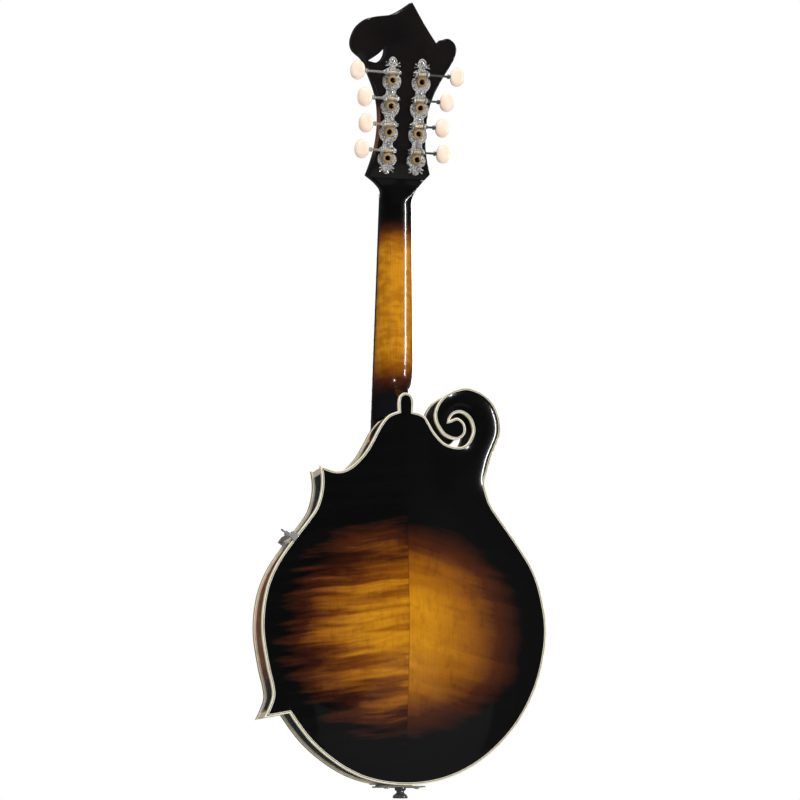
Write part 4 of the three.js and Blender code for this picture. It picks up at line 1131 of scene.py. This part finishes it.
def plate_outline():
    """Half widths up the strip plate: a foot, a shield behind each gear, and a crown."""
    steps = []
    start = POSTS_Z[0] - 5.6 * MM
    steps += [(start - rise * MM, half * MM) for rise, half in reversed(FOOT)]
    for z in POSTS_Z:
        steps += [(z + share * PITCH, half * MM) for share, half in STATION if z + share * PITCH > start]
    top = POSTS_Z[-1] + 0.38 * PITCH
    steps = [step for step in steps if step[0] < top]
    steps += [(top + rise * MM, half * MM) for rise, half in CROWN]
    right = [Vector((half, z)) for z, half in steps]
    left = [Vector((-half, z)) for z, half in reversed(steps) if half > 0]
    return rounded(thinned(right + left), 3, 75)


def sprig(start, stop, widths):
    """A short engraved-looking stem between two places on the headstock, of changing width."""
    root, tip = HEAD @ Vector(start), HEAD @ Vector(stop)
    path = [root.lerp(tip, i / 4) for i in range(5)]
    return tube(path, [width * MM for width in widths], 8)


def tuner_plate(side, sign):
    shift = Vector((sign * ROW_X, 0))
    outline = [p + shift for p in plate_outline()]
    parts = [solid([outline], -PLATE_Y - 1.2 * MM, -PLATE_Y, HEAD_REAR, bevel=0.35 * MM)]
    for z in POSTS_Z:
        worm = z + WORM_RISE
        for end in (-1, 1):
            x = sign * ROW_X + end * 5.4 * MM
            loop = rounded([Vector((x + aside * MM, worm + up * MM)) for aside, up in LUG], 3, 80)
            parts.append(solid([loop], -PLATE_Y - 0.1 * MM, -GEAR_Y + 2.0 * MM, HEAD_REAR, bevel=0.5 * MM))
            for rise in (3.4, -2.6):
                root = (x - end * 1.2 * MM, PLATE_Y - 0.5 * MM, worm + rise * MM)
                tip = (x + end * 2.4 * MM, PLATE_Y - 0.3 * MM, worm + rise * MM * 0.3)
                parts.append(sprig(root, tip, (0.75, 0.7, 0.6, 0.5, 0.62)))
    ends = ((POSTS_Z[-1] + 13.2 * MM, 1), (POSTS_Z[0] - 9.6 * MM, -1))
    for z, up in ends:
        for end in (-1, 1):
            for reach, rise in ((6.4, 2.6), (6.9, -0.6)):
                root = (sign * ROW_X + end * 2.4 * MM, PLATE_Y - 0.1 * MM, z)
                tip = (sign * ROW_X + end * reach * MM, PLATE_Y - 0.5 * MM, z + up * rise * MM)
                parts.append(sprig(root, tip, (0.8, 0.6, 0.45, 0.55, 0.75)))
    places, faces = merge(*parts)
    node = f"tuner_plate_{side}"
    add_piece(node + "_strip", places, faces, "engraved", "nickel", replaces=(node,))
    screws = [POSTS_Z[0] - 12.4 * MM, *(z - 10.6 * MM for z in POSTS_Z[1:]), POSTS_Z[-1] + 17 * MM]
    for number, z in enumerate(screws, 1):
        seat = HEAD @ Matrix.Translation((sign * ROW_X, PLATE_Y + 0.1 * MM, z)) @ BACK
        add_screw(f"plate_screw_{side}_{number}", seat, 1.7 * MM, "nickel", "nickel", turn=0.7 * number)


def add_screw(name, matrix, radius, look, slot, turn=0.0, body="root", domed=0.45):
    """A slotted dome-headed screw, its head above the local plane."""
    sides = 28
    slot_half = 0.16 * radius
    profile = [(radius, -0.3 * MM), (radius, 0.12 * radius)]
    for angle in np.linspace(0.12, 1.5, 7):
        profile.append((radius * math.cos(angle), radius * (0.12 + domed * math.sin(angle))))
    profile.append((0, radius * (0.12 + domed)))
    seat = matrix @ Matrix.Rotation(turn, 4, "Z")
    places, faces = revolved(profile, Matrix(), sides)
    places = [Vector((0, 0, -0.3 * MM))] + places
    faces = [tuple(i + 1 for i in face) for face in faces]
    faces += [(0, 1 + (i + 1) % sides, 1 + i) for i in range(sides)]
    cut = []
    for place in places:
        deep = abs(place.x) < slot_half * 1.6 and place.z > 0.1 * radius
        cut.append(seat @ (Vector((place.x, place.y, place.z - 0.28 * radius)) if deep else place))
    add_piece(name, cut, faces, look, slot, body, angle=30)


for side, sign in SIDES:
    tuner_plate(side, sign)


def gear_outline():
    loop = []
    for tooth in range(GEAR_TEETH):
        for share, radius in ((-0.30, 4.0), (-0.15, 4.7), (0.15, 4.7), (0.30, 4.0)):
            angle = 2 * math.pi * (tooth + share) / GEAR_TEETH
            loop.append(Vector(polar(radius * MM, angle)))
    return loop


def scaled(profile):
    """Profile steps given in millimetres."""
    return [(radius * MM, height * MM) for radius, height in profile]


POST_PROFILE = scaled([
    (0, GEAR_Y / MM), (2.6, GEAR_Y / MM), (3, -15), (3, 3),
    (3, 4), (2.75, 4.5), (2.75, 5.7), (3, 7.6), (2.75, 8.1), (2.75, 9.3), (3, 10),
    *[(2.2 + 0.8 * math.cos(a), 13.2 + 0.8 * math.sin(a)) for a in np.linspace(0, 1.57, 5)],
    (0, 14),
])
BUSHING_PROFILE = scaled([(3.5, -1), (4.9, -1), (4.9, 0.5), *arc(0.5, (4.2, 0.8), 0, 180), (3.5, -1)])


def tuner(side, sign, number):
    z = POSTS_Z[number - 1]
    label = f"{side}_{number}"
    spot = HEAD @ Matrix.Translation((sign * ROW_X, 0, z))
    rear, face = spot @ BACK, spot @ FRONT
    post, key = f"post_{label}", f"key_{label}"
    places, faces = solid([gear_outline()], -GEAR_Y - 1.5 * MM, -GEAR_Y + 1.4 * MM, rear, bevel=0.25 * MM)
    add_piece(f"gear_{label}", places, faces, "brass", "gear_brass", post, angle=30)
    seat = rear @ Matrix.Translation((0, 0, -GEAR_Y + 1.4 * MM))
    add_screw(f"gear_screw_{label}", seat, 2.5 * MM, "screw", "steel", 0.9 * number + sign, post, 0.35)
    node = f"string_post_{label}"
    places, faces = revolved(POST_PROFILE, face, 28)
    add_piece(node + "_turned", places, faces, "nickel", "gear_brass", post, (node,))
    places, faces = revolved(BUSHING_PROFILE, face, 32)
    add_piece(f"bushing_{label}", places, faces, "nickel", "nickel")
    key_shaft(label, sign, z + WORM_RISE, BUTTON_X[number - 1], key)


def key_shaft(label, sign, z, button_x, body):
    """Worm, shaft, collars and the pearl button of one tuner."""
    centre = HEAD @ Matrix.Translation((0, GEAR_Y, z))
    out = centre @ (ALONG_X if sign > 0 else plane(Z, Y))
    row, end = ROW_X / MM, button_x / MM
    start = row - 7.6
    profile = scaled([
        (0, start - 0.4), (0.8, start - 0.4), (1.3, start), (1.3, start + 0.9), (1.1, start + 1.2),
        (1.1, row + 6.6), (1.7, row + 6.8), (1.7, row + 7.8), (1.05, row + 8.2),
        (1.05, end - 9.4), (1.9, end - 9.2), (2.1, end - 8.6),
        (2.1, end - 7.6), (1.7, end - 7.2), (1.7, end - 6.2), (0, end - 6.2),
    ])
    places, faces = revolved(profile, out, 20)
    # Painted shade: the bass-side shafts take the darker copy of the nickel, and the treble side's take
    # the plain nickel.
    look = "dark_chrome" if sign > 0 else "nickel"
    node = f"worm_shaft_{label}"
    add_piece(node + "_turned", places, faces, look, "nickel", body, (node,))
    add_piece(f"worm_{label}", *worm(out), "brass_worm", "nickel", body, angle=60)
    node = f"tuner_button_{label}"
    add_piece(node + "_pearl", *button(centre, sign, button_x), "pearl", "pearloid", body, (node,))


def worm(matrix, rows=65, sides=20):
    """The worm's thread as a wave round its core, running out at both ends."""
    half, lead = 3.6 * MM, 1.35 * MM
    places = []
    for i in range(rows):
        along = -half + 2 * half * i / (rows - 1)
        taper = min(1.0, (half - abs(along)) / (0.7 * MM))
        for angle in turns(sides):
            wave = math.cos(angle - 2 * math.pi * along / lead)
            radius = 1.12 * MM + taper * (0.32 * MM + 0.32 * MM * wave)
            places.append(matrix @ Vector((*polar(radius, angle), ROW_X + along)))
    return places, capped(rows, sides)


def power(value, exponent):
    """A power that keeps the sign."""
    return math.copysign(abs(value) ** exponent, value)


def button(matrix, sign, reach, rows=23, sides=32):
    """An oval button, thinner than it is wide, with flattened sides."""
    long, thick, tall = 6.6 * MM, 3.5 * MM, 8.6 * MM
    places = []
    for i in range(rows):
        tilt = math.pi * i / (rows - 1) - math.pi / 2
        along, round_by = math.sin(tilt), math.cos(tilt) ** 0.86
        for angle in turns(sides):
            y = thick * round_by ** 0.6 * power(math.sin(angle), 0.6)
            up = tall * round_by * power(math.cos(angle), 0.92)
            places.append(matrix @ Vector((sign * (reach + long * along), y, up)))
    return places, capped(rows, sides)


for side, sign in SIDES:
    for number in (1, 2, 3, 4):
        tuner(side, sign, number)


# ------------------------------------------------------------------ fingerboard and string side

SCALE = 352 * MM
BOARD_FACE = NECK @ FRONT
FRETS = 22
MARKERS = ((5, (0,)), (7, (0,)), (10, (0,)), (12, (-6, 6)), (15, (0,)), (17, (0,)))


def fret_z(number):
    return NUT_Z - SCALE * (1 - 2 ** (-number / 12))


def fingerboard():
    loop = rims("fingerboard", BOARD_FACE)[0]
    places, faces = solid([rounded(loop, 3, 30)], -BOARD, 0, BOARD_FACE, bevel=0.25 * MM)
    add_piece("fingerboard_ebony", places, faces, "ebony", "ebony", replaces=("fingerboard",))
    wires = []
    for number in range(1, FRETS + 1):
        z = fret_z(number)
        half = board_half(z) - 0.1 * MM
        path = [NECK @ Vector((half * (2 * i / 8 - 1), 0.1 * MM, z)) for i in range(9)]
        wires.append(tube(path, 0.55 * MM, 10))
    places, faces = merge(*wires)
    add_piece("frets", places, faces, "fret", "nickel")
    dots = []
    for number, spots in MARKERS:
        z = (fret_z(number) + fret_z(number - 1)) / 2
        for x in spots:
            seat = NECK @ Matrix.Translation((x * MM, 0, z)) @ FRONT
            dots.append(revolved(scaled([(0, -0.4), (2.4, -0.4), (2.4, 0.05), (0, 0.05)]), seat, 24))
    places, faces = merge(*dots)
    add_piece("position_markers", places, faces, "dot", "pearloid")


def cover_and_guard():
    loop = rounded(rims("truss_rod_cover", HEAD_FACE)[0], 3, 40)
    places, faces = solid([loop], 0.05 * MM, 1.8 * MM, HEAD_FACE, bevel=0.5 * MM)
    add_piece("truss_cover_bell", places, faces, "black", "black_face", replaces=("truss_rod_cover",))
    edge = solid([inset(loop, 1.1 * MM), inset(loop, 1.7 * MM)], 1.7 * MM, 1.84 * MM, HEAD_FACE)
    add_piece("truss_cover_line", *edge, "white_line", "ivoroid")
    for number, z in ((1, 7), (2, 24)):
        seat = HEAD @ Matrix.Translation((0, 1.8 * MM, z * MM)) @ FRONT
        add_screw(f"truss_cover_screw_{number}", seat, 1.3 * MM, "nickel", "nickel", number)
    loop = rounded(rims("pickguard", FRONT)[0], 4, 40)
    places, faces = solid([loop], 30.5 * MM, 32.1 * MM, FRONT, bevel=0.5 * MM, low_bevel=0.3 * MM)
    add_piece("pickguard_plate", places, faces, "black", "black_face", replaces=("pickguard",))
    edge = solid([inset(loop, 0.9 * MM), inset(loop, 1.9 * MM)], 32 * MM, 32.13 * MM, FRONT)
    add_piece("pickguard_line", *edge, "white_line", "ivoroid")


SADDLE_TOP = 43.6 * MM
BRIDGE_Z = 187 * MM
STUD_X = 30 * MM
COURSES = (
    ("g", 1, (1, 2), 10.1, 19.5, 0.50, "wound"),
    ("d", 1, (3, 4), 3.4, 6.5, 0.42, "wound"),
    ("a", -1, (3, 4), 3.4, 6.5, 0.34, "plain"),
    ("e", -1, (1, 2), 10.1, 19.5, 0.26, "plain"),
)
WIND_HEIGHTS = (5 * MM, 8.6 * MM)
WIND_STEPS = 24
PAIR_HALF = 1.15
HOOK_Z = 46


def strings():
    for course, side, posts, nut_x, saddle_x, radius, look in COURSES:
        radius *= MM
        for member in (0, 1):
            shift = PAIR_HALF if member == 0 else -PAIR_HALF
            place_x = [side * (x + shift) * MM for x in (saddle_x * 0.7, saddle_x, nut_x)]
            anchor = TAIL @ Vector((place_x[0], 7.4 * MM, HOOK_Z * MM))
            saddle = Vector((place_x[1], SADDLE_TOP + radius, BRIDGE_Z))
            nut = NECK @ Vector((place_x[2], 1.1 * MM + radius, NUT_Z + 2 * MM))
            post_z = POSTS_Z[posts[member] - 1]
            inner = side * (ROW_X - 3 * MM - radius)
            post = HEAD @ Vector((inner, WIND_HEIGHTS[member], post_z))
            name = f"string_{course}_{member + 1}"
            after = tube([anchor.lerp(saddle, i / 10) for i in range(11)], radius, 10)
            obj = add_piece(name + "_after_length", *after, look, "string_wire", body=None)
            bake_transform(obj)
            path = [saddle.lerp(nut, i / 24) for i in range(25)]
            path += [nut.lerp(post, i / 6) for i in range(1, 7)]
            wire = tube(path, radius, 10)
            obj = add_piece(name + "_speaking", *wire, look, "string_wire", body=None, replaces=(name,))
            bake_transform(obj)
            label = f"{'bass' if side > 0 else 'treble'}_{posts[member]}"
            coil = []
            spot = Vector((side * ROW_X, WIND_HEIGHTS[member], post_z))
            reach = 3 * MM + radius * 0.9
            for i in range(3 * WIND_STEPS + 1):
                angle = math.pi + (0 if side > 0 else math.pi) + 2 * math.pi * i / WIND_STEPS
                along, up = polar(reach, angle)
                coil.append(HEAD @ (spot + Vector((along, -radius * 2.1 * i / WIND_STEPS, up))))
            add_piece(name + "_winding", *tube(coil, radius, 8), look, "string_wire", body=f"post_{label}")
            ring = []
            for angle in turns(20):
                up, aside = polar(1, angle)
                ring.append(anchor + Vector((2 * MM * aside, 0, -2 * MM + 2.4 * MM * up)))
            add_piece(name + "_loop", *tube(ring, radius, 8, closed=True), look, "string_wire")
            hook = []
            for i in range(9):
                angle = math.pi * i / 8
                out = 4 + 4.4 * math.sin(angle * 0.62)
                up = HOOK_Z - 6.5 + 3.0 * (1 - math.cos(angle)) * 0.8
                hook.append(TAIL @ Vector((place_x[0], out * MM, up * MM)))
            add_piece(name + "_hook", *tube(hook, 0.8 * MM, 10), "nickel", "nickel")


def bridge():
    soften("bridge_base", "ebony", "ebony", 0.8 * MM)
    soften("bridge_saddle", "ebony", "ebony", 0.5 * MM, body="saddle")
    for side, sign in SIDES:
        knurl = [Vector(polar((5.82 if i % 2 else 6) * MM, a)) for i, a in enumerate(turns(96))]
        bore = [Vector(polar(1.9 * MM, -a)) for a in turns(24)]
        seat = Matrix.Translation((sign * STUD_X, 0, BRIDGE_Z)) @ FRONT
        wheel = solid([knurl, bore], 36.1 * MM, 37.9 * MM, seat, bevel=0.3 * MM, low_bevel=0.3 * MM)
        node = f"thumbwheel_{side}"
        add_piece(node + "_knurled", *wheel, "brass", "brass", f"wheel_{side}", (node,), angle=30)
        path = [Vector((sign * STUD_X, y * MM, BRIDGE_Z)) for y in np.arange(31.5, 39.9, 0.1)]
        thread = [(1.6 + 0.1 * math.sin(2 * math.pi * i / 6)) * MM for i in range(len(path))]
        add_piece(f"bridge_thread_{side}", *tube(path, thread, 16), "brass", "brass", angle=60)


STRAP_PROFILE = [
    (0, 0), (4.6, 0), *arc(1.2, (5.4, 1.2), -80, 60), (5.9, 2.9), (5.0, 3.5), (3.9, 4.1), (3.35, 4.9),
    (3.25, 5.8), (3.6, 6.5), (4.5, 6.9), (4.85, 7.3), (4.85, 9.2), (3.0, 9.3), (2.6, 30), (0, 30),
]


def tailpiece():
    soften("tailpiece_base", "nickel", "nickel", 0.35 * MM)
    soften("tailpiece_cover", "nickel", "nickel", 0.9 * MM, body="tail_cover", segments=4)
    for number, x in ((1, -13.5), (2, 13.5)):
        seat = Matrix.Translation((x * MM, -4.5 * MM, 9.4 * MM)) @ Matrix.Rotation(math.pi, 4, "X")
        add_screw(f"tailpiece_screw_{number}", seat, 2.6 * MM, "nickel", "nickel", 0.6 * number)
    # Painted shade: the strap button takes the darker copy of the nickel.
    look = "dark_chrome"
    turned = revolved(scaled(STRAP_PROFILE), Matrix(), 48)
    add_piece("strap_button_turned", *turned, look, look, replaces=("strap_button",), angle=45)
    soften("pickguard_clamp", "nickel", "nickel", 0.3 * MM)


fingerboard()
cover_and_guard()
soften("nut", "bone", "bone", 0.4 * MM)
strings()
bridge()
tailpiece()
for node in ("tail_block", "tone_bar_bass", "tone_bar_treble", "truss_rod"):
    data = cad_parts[node].data
    data.materials.clear()
    data.materials.append(MATERIALS["steel" if node == "truss_rod" else "bare"])
